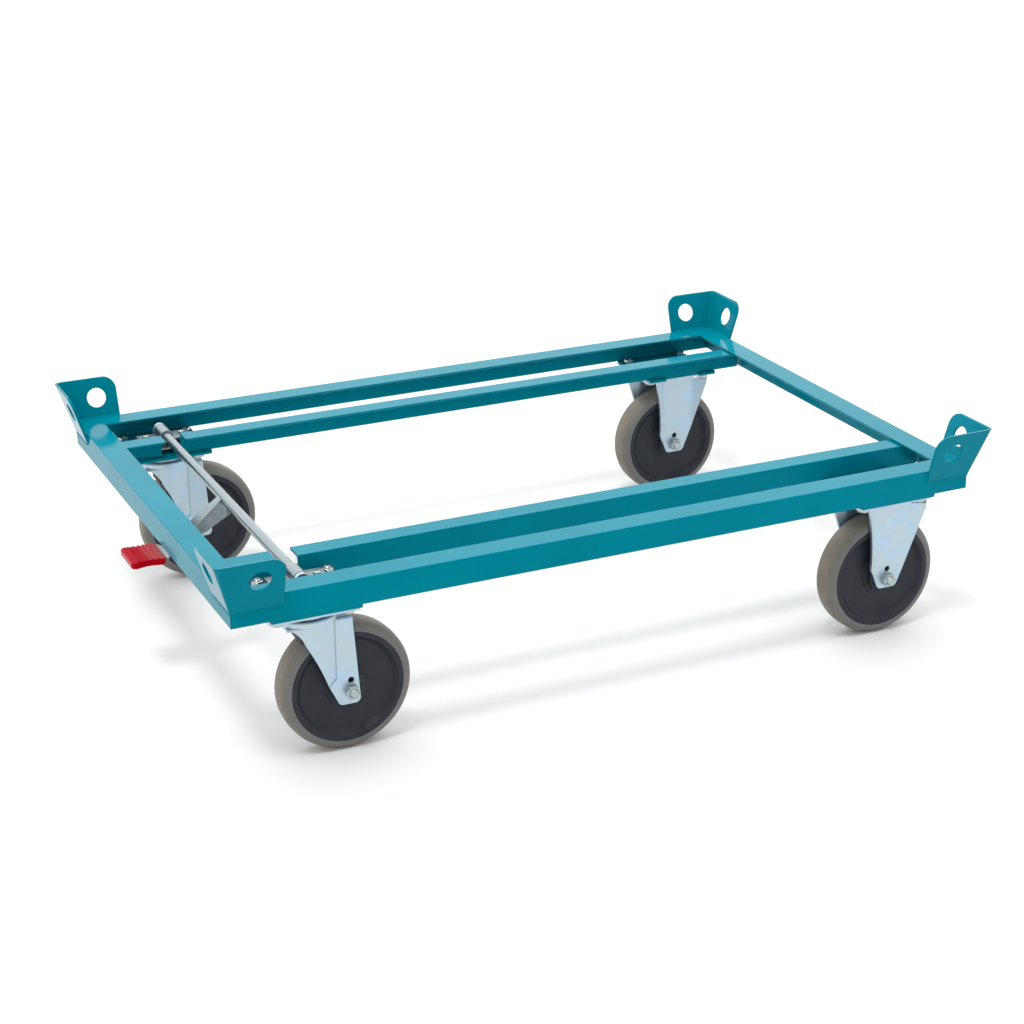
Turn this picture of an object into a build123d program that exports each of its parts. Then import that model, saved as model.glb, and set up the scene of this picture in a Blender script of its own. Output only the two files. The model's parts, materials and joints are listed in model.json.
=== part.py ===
from build123d import *
import os
from math import cos, radians, sin, sqrt

# Pallet dolly: a welded angle frame with corner brackets, two fixed castors at its right end and
# two swivel castors with a central pedal brake at its left end.
# All sizes are in millimetres. The floor is z = 0 and the origin lies on it under the frame's middle.
# +X runs along the dolly towards the fixed castors, and +Y runs to its rear.

# Clearances
running_clearance = 0.06
seat_clearance = 0.05
bolt_clearance = 0.5

# Outer frame of angle section
frame_length = 1210.0
frame_width = 810.0
rail_height = 40.0
rail_flange = 40.0
rail_wall = 4.0
rail_root_radius = 5.0
rail_toe_radius = 2.0
rail_edge_radius = 1.0

# Inner rails of angle section, cut through where the brake shaft crosses them
inner_rail_height = 36.0
inner_rail_flange = 33.5
inner_rail_wall = 4.0
inner_rail_from_castor = 60.5
shaft_gap = 33.0

# Corner brackets
bracket_sheet = 4.0
bracket_slope = 0.311
bracket_reach = 76.0
bracket_top = 62.0
bracket_root_drop = 21.0
bracket_foot_drop = 19.0
bracket_bend_radius = 10.0
bracket_bend_inner_radius = 6.0
bracket_foot_bend_radius = 1.5
bracket_foot_inner_radius = 0.75
bracket_corner_radius = 21.0
bracket_foot_corner_radius = 9.0
bracket_hole_diameter = 32.5
bracket_hole_from_corner = 41.0
bracket_hole_height = 29.5

# Castor places, plates and bolts
castor_inset_x = 125.0
castor_inset_y = 61.0
castor_plate_length = 135.0
castor_plate_width = 110.0
castor_plate_corner = 8.0
bolt_from_plate_edge = 15.0
bolt_diameter = 10.0
bolt_head_width = 17.0
bolt_head_height = 6.4
bolt_nut_height = 8.0
bolt_end_chamfer = 0.8
bolt_tip = 1.0
long_bolt_tip = 3.0
mount_plate_thickness = 5.0
mount_plate_inner_reach = 70.0
mount_plate_corner = 3.0
mount_plate_hole = 38.0
mount_plate_notch_width = 70.0
mount_plate_notch_depth = 9.0

# Wheels
wheel_diameter = 200.0
wheel_width = 46.0
tyre_shoulder_radius = 14.0
tyre_depth = 15.0
rim_lip_depth = 3.0
rim_lip_width = 3.0
rim_ring_width = 7.5
rim_ring_radius = 2.0
rim_cone_width = 7.0
rim_cone_fillet = 4.0
rim_recess = 8.0
hub_diameter = 52.0
hub_ring_width = 6.0
hub_ring_height = 3.0
hub_ring_fillet = 2.0
hub_length = 57.0
bearing_diameter = 28.0
bearing_length = 50.0
axle_sleeve_diameter = 20.0
axle_diameter = 12.0
axle_nut_width = 19.0
axle_nut_height = 10.0
axle_head_height = 7.5
axle_end = 3.5

# Swivel castors
trail = 55.0
fork_sheet = 4.5
fork_gap = 60.0
fork_fold = 31.5
fork_fold_angle = 6.0
fork_fold_radius = 30.0
fork_top_right = 60.5
fork_toe_right = 14.5
fork_toe_left = 17.5
fork_toe_drop = 20.5
fork_toe_radius = 8.0
fork_tip_reach = 33.0
fork_tip_rise = 11.5
fork_web_hollow = 2.0
fork_neck_reach = 42.5
fork_neck_rise = 83.0
fork_flare_reach = 70.5
fork_flare_radius = 60.0
fork_crown_radius = 5.0
fork_step = 34.5
fork_step_width = 1.3
fork_step_depth = 2.2
fork_step_rise = 22.0
fork_recess_reach = 45.0
fork_vent_diameter = 9.5
fork_vent_rise = 16.5
crown_clearance = 11.5
head_dish_diameter = 100.0
head_dish_height = 8.0
head_rim_radius = 2.6
head_floor = 1.0
ball_diameter = 8.0
ball_circle = 74.0
ball_count = 16
ball_side_gap = 1.0
race_gap = 0.3
race_depth = 6.7
race_width = 14.0
swivel_plate_thickness = 6.0
kingpin_diameter = 22.0
kingpin_head_diameter = 32.0
kingpin_head_height = 3.5
kingpin_cap_diameter = 34.0
kingpin_cap_height = 3.0
kingpin_cap_gap = 0.3
kingpin_cap_chamfer = 1.0

# Fixed castors
fixed_axle_offset = 4.0
fixed_sheet = 5.0
fixed_fold = 36.0
fixed_fold_angle = 20.0
fixed_fold_radius = 22.0
fixed_flange_angle = 30.0
fixed_flange_radius = 3.0
fixed_flange_width = 2.2
fixed_flange_flare = 10.8
fixed_flange_flare_height = 100.0
fixed_flange_bow = 2.0
fixed_left = 26.5
fixed_tip_reach = 28.9
fixed_tip_rise = 17.5
fixed_toe_left = 15.5
fixed_toe_right = 17.0
fixed_toe_drop = 15.6
fixed_toe_radius = 8.0
fixed_heel_reach = 26.2
fixed_heel_rise = 6.0
fixed_fold_rise = 31.0
fixed_shoulder_rise = 115.0
fixed_top_reach = 26.2
bolt_pocket_depth = 11.0
bolt_pocket_clearance = 2.0

# Brake shaft, its bearings and its cams
shaft_diameter = 16.0
shaft_wall = 2.0
shaft_drop = 15.2
bearing_sheet = 3.0
strap_length = 132.0
strap_width = 28.0
strap_from_castor = 26.0
saddle_flange_depth = 12.0
saddle_opening = 28.0
clip_length = 85.0
clip_width = 35.0
clip_overhang = 14.0
clip_drop = 6.8
clip_bend_radius = 2.0
clip_screw_spacing = 60.0
clip_screw_inset = 6.0
clip_screw_diameter = 6.0
clip_screw_head_width = 10.0
clip_screw_head_height = 4.0
clip_nut_height = 5.0
clip_screw_tip = 1.0
cam_width = 6.0
cam_ring_wall = 3.0
cam_reach = 15.0
cam_tip_radius = 4.0
cam_rest_angle = 50.0
cam_gap = 0.5

# Push rods and brake shoes
push_rod_diameter = 12.0
push_rod_head_diameter = 30.0
push_rod_head_height = 3.0
push_rod_head_chamfer = 0.75
brake_stroke = 3.3
shoe_gap = 0.4
shoe_headroom = 3.5
shoe_front = 14.0
shoe_back = 12.0
shoe_depth = 27.0
shoe_width = 40.0

# Pedal lever, an inverted channel that ends in a flat plate, and the pad pushed onto that plate
lever_sheet = 3.0
lever_reach = 96.9
lever_drop = 68.8
lever_start_rise = 5.3
lever_start_reach = 4.4
lever_wall_reach = 6.5
lever_wall_drop = 24.0
lever_knee_reach = 41.3
lever_knee_drop = 47.1
lever_heel_depth = 5.0
lever_width_at_shaft = 15.0
lever_width_at_knee = 25.0
lever_width_at_bend = 35.0
pedal_plate_length = 55.0
pedal_plate_width = 62.0
pedal_plate_shoulder = 6.0
pedal_tongue_width = 52.0
pad_width = 80.0
pad_end_wall = 8.0
pad_over = 2.0
pad_under = 5.0
pad_setback = 8.0
pad_waist = 8.5
pad_corner_radius = 8.0
pad_edge_radius = 2.0
pad_rib_count = 5
pad_rib_width = 3.0
pad_rib_pitch = 8.0
pad_rib_height = 1.0
pad_rib_margin = 9.0

# Heights above the floor, from the wheel up to the frame
axle_z = wheel_diameter / 2
crown_z = wheel_diameter + crown_clearance
dish_z = crown_z + fork_sheet
dish_top_z = dish_z + head_dish_height
ball_floor_z = dish_z + head_floor
ball_z = ball_floor_z + ball_diameter / 2
race_z = ball_floor_z + ball_diameter + race_gap
swivel_plate_z = race_z + race_depth
castor_height = swivel_plate_z + swivel_plate_thickness
fixed_plate_z = castor_height - fixed_sheet
rail_z = castor_height + mount_plate_thickness
frame_top = rail_z + rail_height
strap_z = rail_z + bolt_nut_height
shaft_z = frame_top - shaft_drop
saddle_z = shaft_z - clip_drop

# Places on the plan
castor_x = frame_length / 2 - castor_inset_x
castor_y = frame_width / 2 - castor_inset_y
fixed_axle_x = castor_x + fixed_axle_offset
shaft_x = -castor_x
inner_rail_y = castor_y - inner_rail_from_castor
inner_rail_end = frame_length / 2 - rail_wall - rail_root_radius

# Sizes that follow from others
bolt_hole = bolt_diameter + 2 * bolt_clearance
bolt_spacing_x = castor_plate_length - 2 * bolt_from_plate_edge
bolt_spacing_y = castor_plate_width - 2 * bolt_from_plate_edge
bolt_row = bolt_spacing_y / 2
fork_face = fork_gap / 2 + fork_sheet
fixed_face = fork_gap / 2 + fixed_sheet
shaft_radius = shaft_diameter / 2
shaft_length = 2 * castor_y + cam_width
saddle_radius = shaft_radius + running_clearance
rim_radius = wheel_diameter / 2 - tyre_depth
kingpin_hole = kingpin_diameter + 2 * running_clearance
kingpin_cap_z = castor_height + kingpin_cap_gap
cam_low_z = shaft_z - cam_reach * sin(radians(cam_rest_angle)) - cam_tip_radius
push_rod_top_z = cam_low_z - cam_gap
shoe_top_z = crown_z - kingpin_head_height - shoe_headroom
clip_start = strap_from_castor + clip_overhang - clip_width
clip_screw_y = strap_from_castor - clip_screw_inset
pedal_bend_x = shaft_x - lever_reach
pedal_plate_top_z = shaft_z - lever_drop
pedal_plate_end_x = pedal_bend_x - pedal_plate_length
pad_start_x = pedal_bend_x - pad_setback

up = Vector(0, 0, 1)
front_and_rear = (("front", -castor_y, 0.0), ("rear", castor_y, 180.0))


def save(piece, name):
    """Label a finished piece and write it to its own file."""
    piece.label = name
    export_step(piece, f"parts/{name}.step")


def placed(piece, x, y, turn=0.0):
    """A copy of a piece that was built around its own upright axis, moved to its place on the plan."""
    return piece.moved(Location((x, y, 0), (0, 0, turn)))


def angle_bar(start, inward, length, height, flange, wall):
    """A length of angle with its upright leg outside and its flange at the top, pointing inward."""
    run = inward.cross(up)
    with BuildPart() as bar:
        with BuildSketch(Plane(origin=start, x_dir=inward, z_dir=run)) as section:
            with BuildLine():
                Polyline(
                    (0, 0),
                    (wall, 0),
                    (wall, height - wall),
                    (flange, height - wall),
                    (flange, height),
                    (0, height),
                    close=True,
                )
            make_face()
            corners = (
                ((wall, height - wall), rail_root_radius),
                ((wall, 0), rail_toe_radius),
                ((flange, height - wall), rail_toe_radius),
                ((0, height), rail_edge_radius),
            )
            for corner, radius in corners:
                fillet(section.vertices().sort_by_distance(corner)[0], radius=radius)
        extrude(amount=length)
    return bar.part


def frame_rail(inward, length, depth):
    """One side of the outer frame, cut at 45 degrees at both ends."""
    run = inward.cross(up)
    outer_face = inward * (-depth / 2)
    start = outer_face - run * (length / 2) + up * rail_z
    with BuildPart() as rail:
        add(angle_bar(start, inward, length, rail_height, rail_flange, rail_wall))
        for end in (1, -1):
            corner = outer_face + run * (end * length / 2)
            split(bisect_by=Plane(origin=corner, z_dir=run * end + inward), keep=Keep.BOTTOM)
    return rail.part


def inner_rail(inward, x_from, x_to):
    """A length of the inner rail, standing on the mount plates and under the end rails' flanges."""
    start_x = x_from if inward.Y > 0 else x_to
    start = Vector(start_x, -inward.Y * inner_rail_y, rail_z)
    return angle_bar(start, inward, x_to - x_from, inner_rail_height, inner_rail_flange, inner_rail_wall)


def corner_bracket():
    """Two flared legs bent from one sheet, built with the frame's top corner as its origin."""
    sheet_across = bracket_sheet * sqrt(1 + bracket_slope**2)
    with BuildPart() as bracket:
        bends = (
            (-bracket_foot_drop, bracket_foot_bend_radius, bracket_foot_inner_radius),
            (bracket_top, bracket_bend_radius, bracket_bend_inner_radius),
        )
        for height, outer_radius, inner_radius in bends:
            out = bracket_slope * (height + bracket_root_drop)
            inner = sheet_across - out
            with BuildSketch(Plane.XY.offset(height)) as section:
                with BuildLine():
                    Polyline(
                        (bracket_reach, -out),
                        (-out, -out),
                        (-out, bracket_reach),
                        (inner, bracket_reach),
                        (inner, inner),
                        (bracket_reach, inner),
                        close=True,
                    )
                make_face()
                fillet(section.vertices().sort_by_distance((-out, -out))[0], radius=outer_radius)
                fillet(section.vertices().sort_by_distance((inner, inner))[0], radius=inner_radius)
        loft(ruled=True)
        leg_corners = (
            (bracket_top, bracket_corner_radius, Align.MAX, -1),
            (-bracket_foot_drop, bracket_foot_corner_radius, Align.MIN, 1),
        )
        for side_view in (Plane.XZ, Plane.YZ):
            for height, radius, edge, inward in leg_corners:
                with BuildSketch(side_view):
                    with Locations((bracket_reach, height)):
                        Rectangle(radius, radius, align=(Align.MAX, edge))
                    with Locations((bracket_reach - radius, height + inward * radius)):
                        Circle(radius, mode=Mode.SUBTRACT)
                extrude(amount=bracket_reach, both=True, mode=Mode.SUBTRACT)
        hole_out = bracket_slope * (bracket_hole_height + bracket_root_drop)
        hole_planes = (
            Plane((bracket_hole_from_corner, -hole_out, bracket_hole_height), z_dir=(0, -1, -bracket_slope)),
            Plane((-hole_out, bracket_hole_from_corner, bracket_hole_height), z_dir=(-1, 0, -bracket_slope)),
        )
        for hole_plane in hole_planes:
            with BuildSketch(hole_plane):
                Circle(bracket_hole_diameter / 2)
            extrude(amount=2 * bracket_sheet, both=True, mode=Mode.SUBTRACT)
        with BuildSketch():
            Rectangle(2 * bracket_reach, 2 * bracket_reach, align=(Align.MIN, Align.MIN))
        extrude(amount=-2 * bracket_root_drop, mode=Mode.SUBTRACT)
    return bracket.part


def mount_plate(swivels):
    """Plate welded under the rails for one front castor, built around the castor's axis."""
    depth = castor_inset_y + mount_plate_inner_reach
    with BuildPart() as plate:
        with BuildSketch(Plane.XY.offset(castor_height)) as outline:
            with Locations((0, mount_plate_inner_reach - depth / 2)):
                Rectangle(castor_plate_length, depth)
            fillet(outline.vertices(), radius=mount_plate_corner)
            with GridLocations(bolt_spacing_x, bolt_spacing_y, 2, 2):
                Circle(bolt_hole / 2, mode=Mode.SUBTRACT)
            if swivels:
                Circle(mount_plate_hole / 2, mode=Mode.SUBTRACT)
            else:
                with Locations((0, mount_plate_inner_reach)):
                    Rectangle(mount_plate_notch_width, 2 * mount_plate_notch_depth, mode=Mode.SUBTRACT)
        extrude(amount=mount_plate_thickness)
    return plate.part


def castor_plate(z, thickness):
    """Top plate of a castor with its four bolt holes."""
    with BuildPart() as plate:
        with BuildSketch(Plane.XY.offset(z)):
            RectangleRounded(castor_plate_length, castor_plate_width, castor_plate_corner)
            with GridLocations(bolt_spacing_x, bolt_spacing_y, 2, 2):
                Circle(bolt_hole / 2, mode=Mode.SUBTRACT)
        extrude(amount=thickness)
    return plate.part


def swivel_plate():
    """Top plate of a swivel castor with the upper ball race under it."""
    with BuildPart() as plate:
        add(castor_plate(swivel_plate_z, swivel_plate_thickness))
        with BuildSketch(Plane.XY.offset(race_z)):
            Circle(ball_circle / 2 + race_width / 2)
            Circle(ball_circle / 2 - race_width / 2, mode=Mode.SUBTRACT)
        extrude(amount=race_depth)
        with BuildSketch(Plane.XY.offset(swivel_plate_z)):
            Circle(kingpin_hole / 2)
        extrude(amount=swivel_plate_thickness, mode=Mode.SUBTRACT)
    return plate.part


def folded_sheet(line, bend_radii, sheet, floor_z, height):
    """Upright sheet whose outer face follows a line on the plan, with its thickness on the line's left.

    Each corner of the line is a bend, and its radius is the one inside the bend."""
    steps = [(end - start).normalized() for start, end in zip(line, line[1:])]
    lefts = [Vector(-step.Y, step.X) for step in steps]
    inner = [line[0] + lefts[0] * sheet]
    for corner, left, next_left in zip(line[1:], lefts, lefts[1:]):
        inner.append(corner + (left + next_left) * (sheet / (1 + left.dot(next_left))))
    inner.append(line[-1] + lefts[-1] * sheet)
    with BuildPart() as folded:
        with BuildSketch(Plane.XY.offset(floor_z)) as plan:
            with BuildLine():
                Polyline(*line, *reversed(inner), close=True)
            make_face()
            for bend, radius in enumerate(bend_radii, start=1):
                turns_left = steps[bend - 1].cross(steps[bend]).Z > 0
                outside, inside = (line, inner) if turns_left else (inner, line)
                fillet(plan.vertices().sort_by_distance(outside[bend])[0], radius=radius + sheet)
                fillet(plan.vertices().sort_by_distance(inside[bend])[0], radius=radius)
        extrude(amount=height)
    return folded.part


def swivel_leg():
    """Front leg of the swivel fork: a flat blade, and a web that bends outward ahead of it."""
    toe_z = axle_z - fork_toe_drop
    toe_left = (trail - fork_toe_left, toe_z)
    toe_right = (trail + fork_toe_right, toe_z)
    shoulder = (fork_top_right, crown_z - fork_crown_radius)
    tip = (trail - fork_tip_reach, axle_z + fork_tip_rise)
    turn = radians(fork_fold_angle)
    neck = (fork_fold - fork_neck_reach * cos(turn), axle_z + fork_neck_rise)
    flare = (fork_fold - fork_flare_reach * cos(turn), dish_z)
    fold = Vector(fork_fold, -fork_face)
    web_end = fold - Vector(cos(turn), sin(turn)) * (fork_flare_reach + fork_sheet)
    line = (web_end, fold, Vector(max(fork_top_right, toe_right[0]), -fork_face))
    hollow = ((tip[0] + neck[0]) / 2 + fork_web_hollow, (tip[1] + neck[1]) / 2)
    with BuildPart() as leg:
        add(folded_sheet(line, (fork_fold_radius,), fork_sheet, toe_z, dish_z - toe_z))
        with BuildSketch(Plane.XZ) as side:
            with BuildLine():
                Polyline(flare, (fork_top_right, dish_z), shoulder, toe_right, toe_left, tip)
                ThreePointArc(tip, hollow, neck)
                RadiusArc(neck, flare, -fork_flare_radius)
            make_face()
            for corner in (toe_left, toe_right):
                fillet(side.vertices().sort_by_distance(corner)[0], radius=fork_toe_radius)
        extrude(amount=2 * fork_face, both=True, mode=Mode.INTERSECT)
    return leg.part


def web_recess():
    """Cutter that sets the swivel fork's web back from the blade and the toe, deepest beside the blade."""
    turn = radians(fork_fold_angle)
    fade = Vector(fork_fold, -fork_face) - Vector(cos(turn), sin(turn)) * fork_recess_reach
    clear_y = fade.Y - fork_sheet
    tip = (trail - fork_tip_reach, axle_z + fork_tip_rise)
    step_foot = (fork_step, axle_z + fork_step_rise)
    with BuildPart() as recess:
        with BuildSketch(Plane.XY.offset(tip[1])):
            with BuildLine():
                Polyline(
                    (fork_step, -fork_face),
                    (fork_step - fork_step_width, fork_step_depth - fork_face),
                    (fade.X, fade.Y),
                    (fade.X, clear_y),
                    (fork_step, clear_y),
                    close=True,
                )
            make_face()
        extrude(amount=dish_z - tip[1])
        with BuildSketch(Plane.XZ):
            with BuildLine():
                Polyline(step_foot, tip, (fade.X, tip[1]), (fade.X, dish_z), (fork_step, dish_z), close=True)
            make_face()
        extrude(amount=-clear_y, mode=Mode.INTERSECT)
    return recess.part


def swivel_fork():
    """Pressed fork of a swivel castor, built around its swivel axis with the wheel trailing along +X."""
    turn = radians(fork_fold_angle)
    crown_left = fork_fold - fork_flare_reach * cos(turn)
    crown_half = fork_face + fork_flare_reach * sin(turn)
    crown = ((crown_left, crown_half), (fork_fold, fork_face), (fork_top_right, fork_face))
    with BuildPart() as fork:
        add(swivel_leg())
        mirror(about=Plane.XZ)
        with BuildSketch(Plane.XY.offset(crown_z)):
            with BuildLine():
                Polyline(*crown, *((x, -y) for x, y in reversed(crown)), close=True)
            make_face()
        extrude(amount=fork_sheet)
        top_edges = fork.faces().sort_by(Axis.Z)[-1].edges()
        side_edges = top_edges.filter_by(lambda edge: abs(edge.center().Y) > fork_gap / 2)
        fillet(side_edges, radius=fork_crown_radius)
        recess = web_recess()
        add(recess, mode=Mode.SUBTRACT)
        add(recess.mirror(Plane.XZ), mode=Mode.SUBTRACT)
        with BuildSketch(Plane.XY.offset(dish_z)):
            Circle(head_dish_diameter / 2)
        extrude(amount=head_dish_height)
        rim_edges = fork.edges().filter_by(GeomType.CIRCLE).group_by(Axis.Z)[-1]
        fillet(rim_edges, radius=head_rim_radius)
        with BuildSketch(Plane.XY.offset(ball_floor_z)):
            Circle(ball_circle / 2 + ball_diameter / 2 + ball_side_gap)
            Circle(ball_circle / 2 - ball_diameter / 2 - ball_side_gap, mode=Mode.SUBTRACT)
        extrude(amount=head_dish_height, mode=Mode.SUBTRACT)
        with BuildSketch(Plane.XY.offset(crown_z)):
            Circle(kingpin_diameter / 2 + seat_clearance)
        extrude(amount=dish_top_z - crown_z, mode=Mode.SUBTRACT)
        with BuildSketch(Plane.XZ):
            with Locations((trail, axle_z)):
                Circle(axle_diameter / 2 + seat_clearance)
            with Locations((trail, axle_z + fork_vent_rise)):
                Circle(fork_vent_diameter / 2)
        extrude(amount=2 * fork_face, both=True, mode=Mode.SUBTRACT)
    return fork.part


def kingpin():
    """Hollow rivet that holds the swivel fork under its top plate and lets the push rod through."""
    with BuildPart() as pin:
        steps = (
            (crown_z - kingpin_head_height, kingpin_head_diameter, kingpin_head_height),
            (crown_z, kingpin_diameter, kingpin_cap_z - crown_z),
            (kingpin_cap_z, kingpin_cap_diameter, kingpin_cap_height),
        )
        for z, diameter, height in steps:
            with BuildSketch(Plane.XY.offset(z)):
                Circle(diameter / 2)
            extrude(amount=height)
        chamfer(pin.edges().group_by(Axis.Z)[-1], length=kingpin_cap_chamfer)
        with BuildSketch(Plane.XY.offset(crown_z - kingpin_head_height)):
            Circle(push_rod_diameter / 2 + running_clearance)
        extrude(amount=kingpin_cap_z + kingpin_cap_height - crown_z + kingpin_head_height, mode=Mode.SUBTRACT)
    return pin.part


def swivel_balls():
    """Ring of balls between the fork's head and the upper race."""
    with BuildPart() as balls:
        with Locations((0, 0, ball_z)):
            with PolarLocations(ball_circle / 2, ball_count):
                Sphere(ball_diameter / 2)
    return balls.part


def hex_prism(width, height, bore):
    """Six-sided head or nut with bevelled corners, standing on z = 0; a bore of 0 leaves it solid."""
    corner_radius = width / sqrt(3)
    with BuildPart() as prism:
        with BuildSketch():
            RegularPolygon(width / 2, 6, major_radius=False)
        extrude(amount=height)
        with BuildSketch(Plane.XZ):
            with BuildLine():
                Polyline(
                    (0, 0),
                    (corner_radius, 0),
                    (corner_radius, height - (corner_radius - width / 2)),
                    (width / 2, height),
                    (0, height),
                    close=True,
                )
            make_face()
        revolve(axis=Axis.Z, mode=Mode.INTERSECT)
        if bore:
            Hole(bore / 2)
    return prism.part


def hex_bolt(diameter, length, head_width, head_height):
    """Bolt with its head under z = 0 and its shank rising from there."""
    with BuildPart() as bolt:
        with Locations(Location((0, 0, 0), (180, 0, 0))):
            add(hex_prism(head_width, head_height, 0))
        with BuildSketch():
            Circle(diameter / 2)
        extrude(amount=length)
        chamfer(bolt.edges().group_by(Axis.Z)[-1], length=bolt_end_chamfer)
    return bolt.part


def wheel_centre():
    """Moulded wheel body around the Y axis; a cone leads from each rim ring down to the recessed web."""
    side = wheel_width / 2
    hub_radius = hub_diameter / 2
    web = side - rim_recess
    ring_radius = rim_radius - rim_ring_width
    cone_foot_radius = ring_radius - rim_cone_width
    with BuildPart() as centre:
        with BuildSketch() as section:
            with BuildLine():
                Polyline(
                    (bearing_diameter / 2 + seat_clearance, 0),
                    (bearing_diameter / 2 + seat_clearance, hub_length / 2),
                    (hub_radius, hub_length / 2),
                    (hub_radius, web + hub_ring_height),
                    (hub_radius + hub_ring_width, web + hub_ring_height),
                    (hub_radius + hub_ring_width, web),
                    (cone_foot_radius, web),
                    (ring_radius, side),
                    (rim_radius, side),
                    (rim_radius, side - rim_lip_width),
                    (rim_radius - rim_lip_depth, side - rim_lip_width),
                    (rim_radius - rim_lip_depth, 0),
                    close=True,
                )
            make_face()
            bends = (
                ((hub_radius + hub_ring_width, web), hub_ring_fillet),
                ((cone_foot_radius, web), rim_cone_fillet),
                ((ring_radius, side), rim_ring_radius),
            )
            for corner, radius in bends:
                fillet(section.vertices().sort_by_distance(corner)[0], radius=radius)
            mirror(about=Plane.XZ)
        revolve(axis=Axis.Y)
    return centre.part


def tyre():
    """Solid tyre around the Y axis, held between the rim's two lips."""
    side = wheel_width / 2
    seat = rim_radius + seat_clearance
    tread = wheel_diameter / 2
    with BuildPart() as band:
        with BuildSketch() as section:
            with BuildLine():
                Polyline(
                    (seat - rim_lip_depth, 0),
                    (seat - rim_lip_depth, side - rim_lip_width - seat_clearance),
                    (seat, side - rim_lip_width - seat_clearance),
                    (seat, side),
                    (tread, side),
                    (tread, 0),
                    close=True,
                )
            make_face()
            fillet(section.vertices().sort_by_distance((tread, side))[0], radius=tyre_shoulder_radius)
            mirror(about=Plane.XZ)
        revolve(axis=Axis.Y)
    return band.part


def round_sleeve(outer_radius, inner_radius, length):
    """Plain tube along the Y axis, centred on the origin."""
    with BuildPart() as sleeve:
        with BuildSketch(Plane.XZ):
            Circle(outer_radius)
            Circle(inner_radius, mode=Mode.SUBTRACT)
        extrude(amount=length / 2, both=True)
    return sleeve.part


def fixed_leg():
    """Front leg of the fixed fork: a flat blade with one edge bent inward and a flank bent outward."""
    toe_z = axle_z - fixed_toe_drop
    tip_z = axle_z + fixed_tip_rise
    toe_left = (-fixed_toe_left, toe_z)
    toe_right = (fixed_toe_right, toe_z)
    flange_turn = radians(fixed_flange_angle)
    flange_fold = Vector(-fixed_left, -fixed_face)
    flange_reach = fixed_flange_width + fixed_flange_flare + fixed_sheet
    flange_end = flange_fold + Vector(-cos(flange_turn), sin(flange_turn)) * flange_reach
    flange_edge = -fixed_left - fixed_flange_width * cos(flange_turn)
    flange_top = flange_edge - fixed_flange_flare * cos(flange_turn)
    flange_bow = (flange_edge + flange_top) / 2 + fixed_flange_bow
    flange_low_z = fixed_plate_z - fixed_flange_flare_height
    flange_middle_z = fixed_plate_z - fixed_flange_flare_height / 2
    flank_turn = radians(fixed_fold_angle)
    flank_fold = Vector(fixed_fold, -fixed_face)
    flank_end = flank_fold + Vector(cos(flank_turn), -sin(flank_turn)) * (fixed_top_reach + fixed_sheet)
    flank_foot = (fixed_fold, axle_z + fixed_fold_rise)
    flank_edge = fixed_fold + fixed_top_reach * cos(flank_turn)
    line = (flange_end, flange_fold, flank_fold, flank_end)
    bend_radii = (fixed_flange_radius, fixed_fold_radius)
    with BuildPart() as leg:
        add(folded_sheet(line, bend_radii, fixed_sheet, toe_z, fixed_plate_z - toe_z))
        with BuildSketch(Plane.XZ) as side:
            with BuildLine():
                flange = ThreePointArc(
                    (flange_top, fixed_plate_z),
                    (flange_bow, flange_middle_z),
                    (flange_edge, flange_low_z),
                )
                Polyline(
                    flange @ 1,
                    (-fixed_tip_reach, tip_z),
                    toe_left,
                    toe_right,
                    (fixed_heel_reach, axle_z + fixed_heel_rise),
                    flank_foot,
                    (flank_edge, axle_z + fixed_shoulder_rise),
                    (flank_edge, fixed_plate_z),
                    flange @ 0,
                )
            make_face()
            for corner in (toe_left, toe_right):
                fillet(side.vertices().sort_by_distance(corner)[0], radius=fixed_toe_radius)
        extrude(amount=2 * fixed_face, both=True, mode=Mode.INTERSECT)
    return leg.part


def fixed_fork():
    """Pressed fork of a fixed castor: its top plate, a leg, and the same leg turned half round the axle."""
    leg = fixed_leg()
    legs_at = Location((fixed_axle_offset, 0, 0))
    pocket_radius = bolt_head_width / sqrt(3) + bolt_pocket_clearance
    with BuildPart() as fork:
        with Locations(legs_at, legs_at * Location((0, 0, 0), (0, 0, 180))):
            add(leg)
        with BuildSketch(Plane.XY.offset(fixed_plate_z)):
            with GridLocations(bolt_spacing_x, bolt_spacing_y, 2, 2):
                Circle(pocket_radius)
        extrude(amount=-bolt_pocket_depth, mode=Mode.SUBTRACT)
        add(castor_plate(fixed_plate_z, fixed_sheet))
        with BuildSketch(Plane.XZ):
            with Locations((fixed_axle_offset, axle_z)):
                Circle(axle_diameter / 2 + seat_clearance)
            with Locations((fixed_axle_offset, axle_z + fork_vent_rise)):
                Circle(fork_vent_diameter / 2)
        extrude(amount=2 * fixed_face, both=True, mode=Mode.SUBTRACT)
    return fork.part


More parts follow.
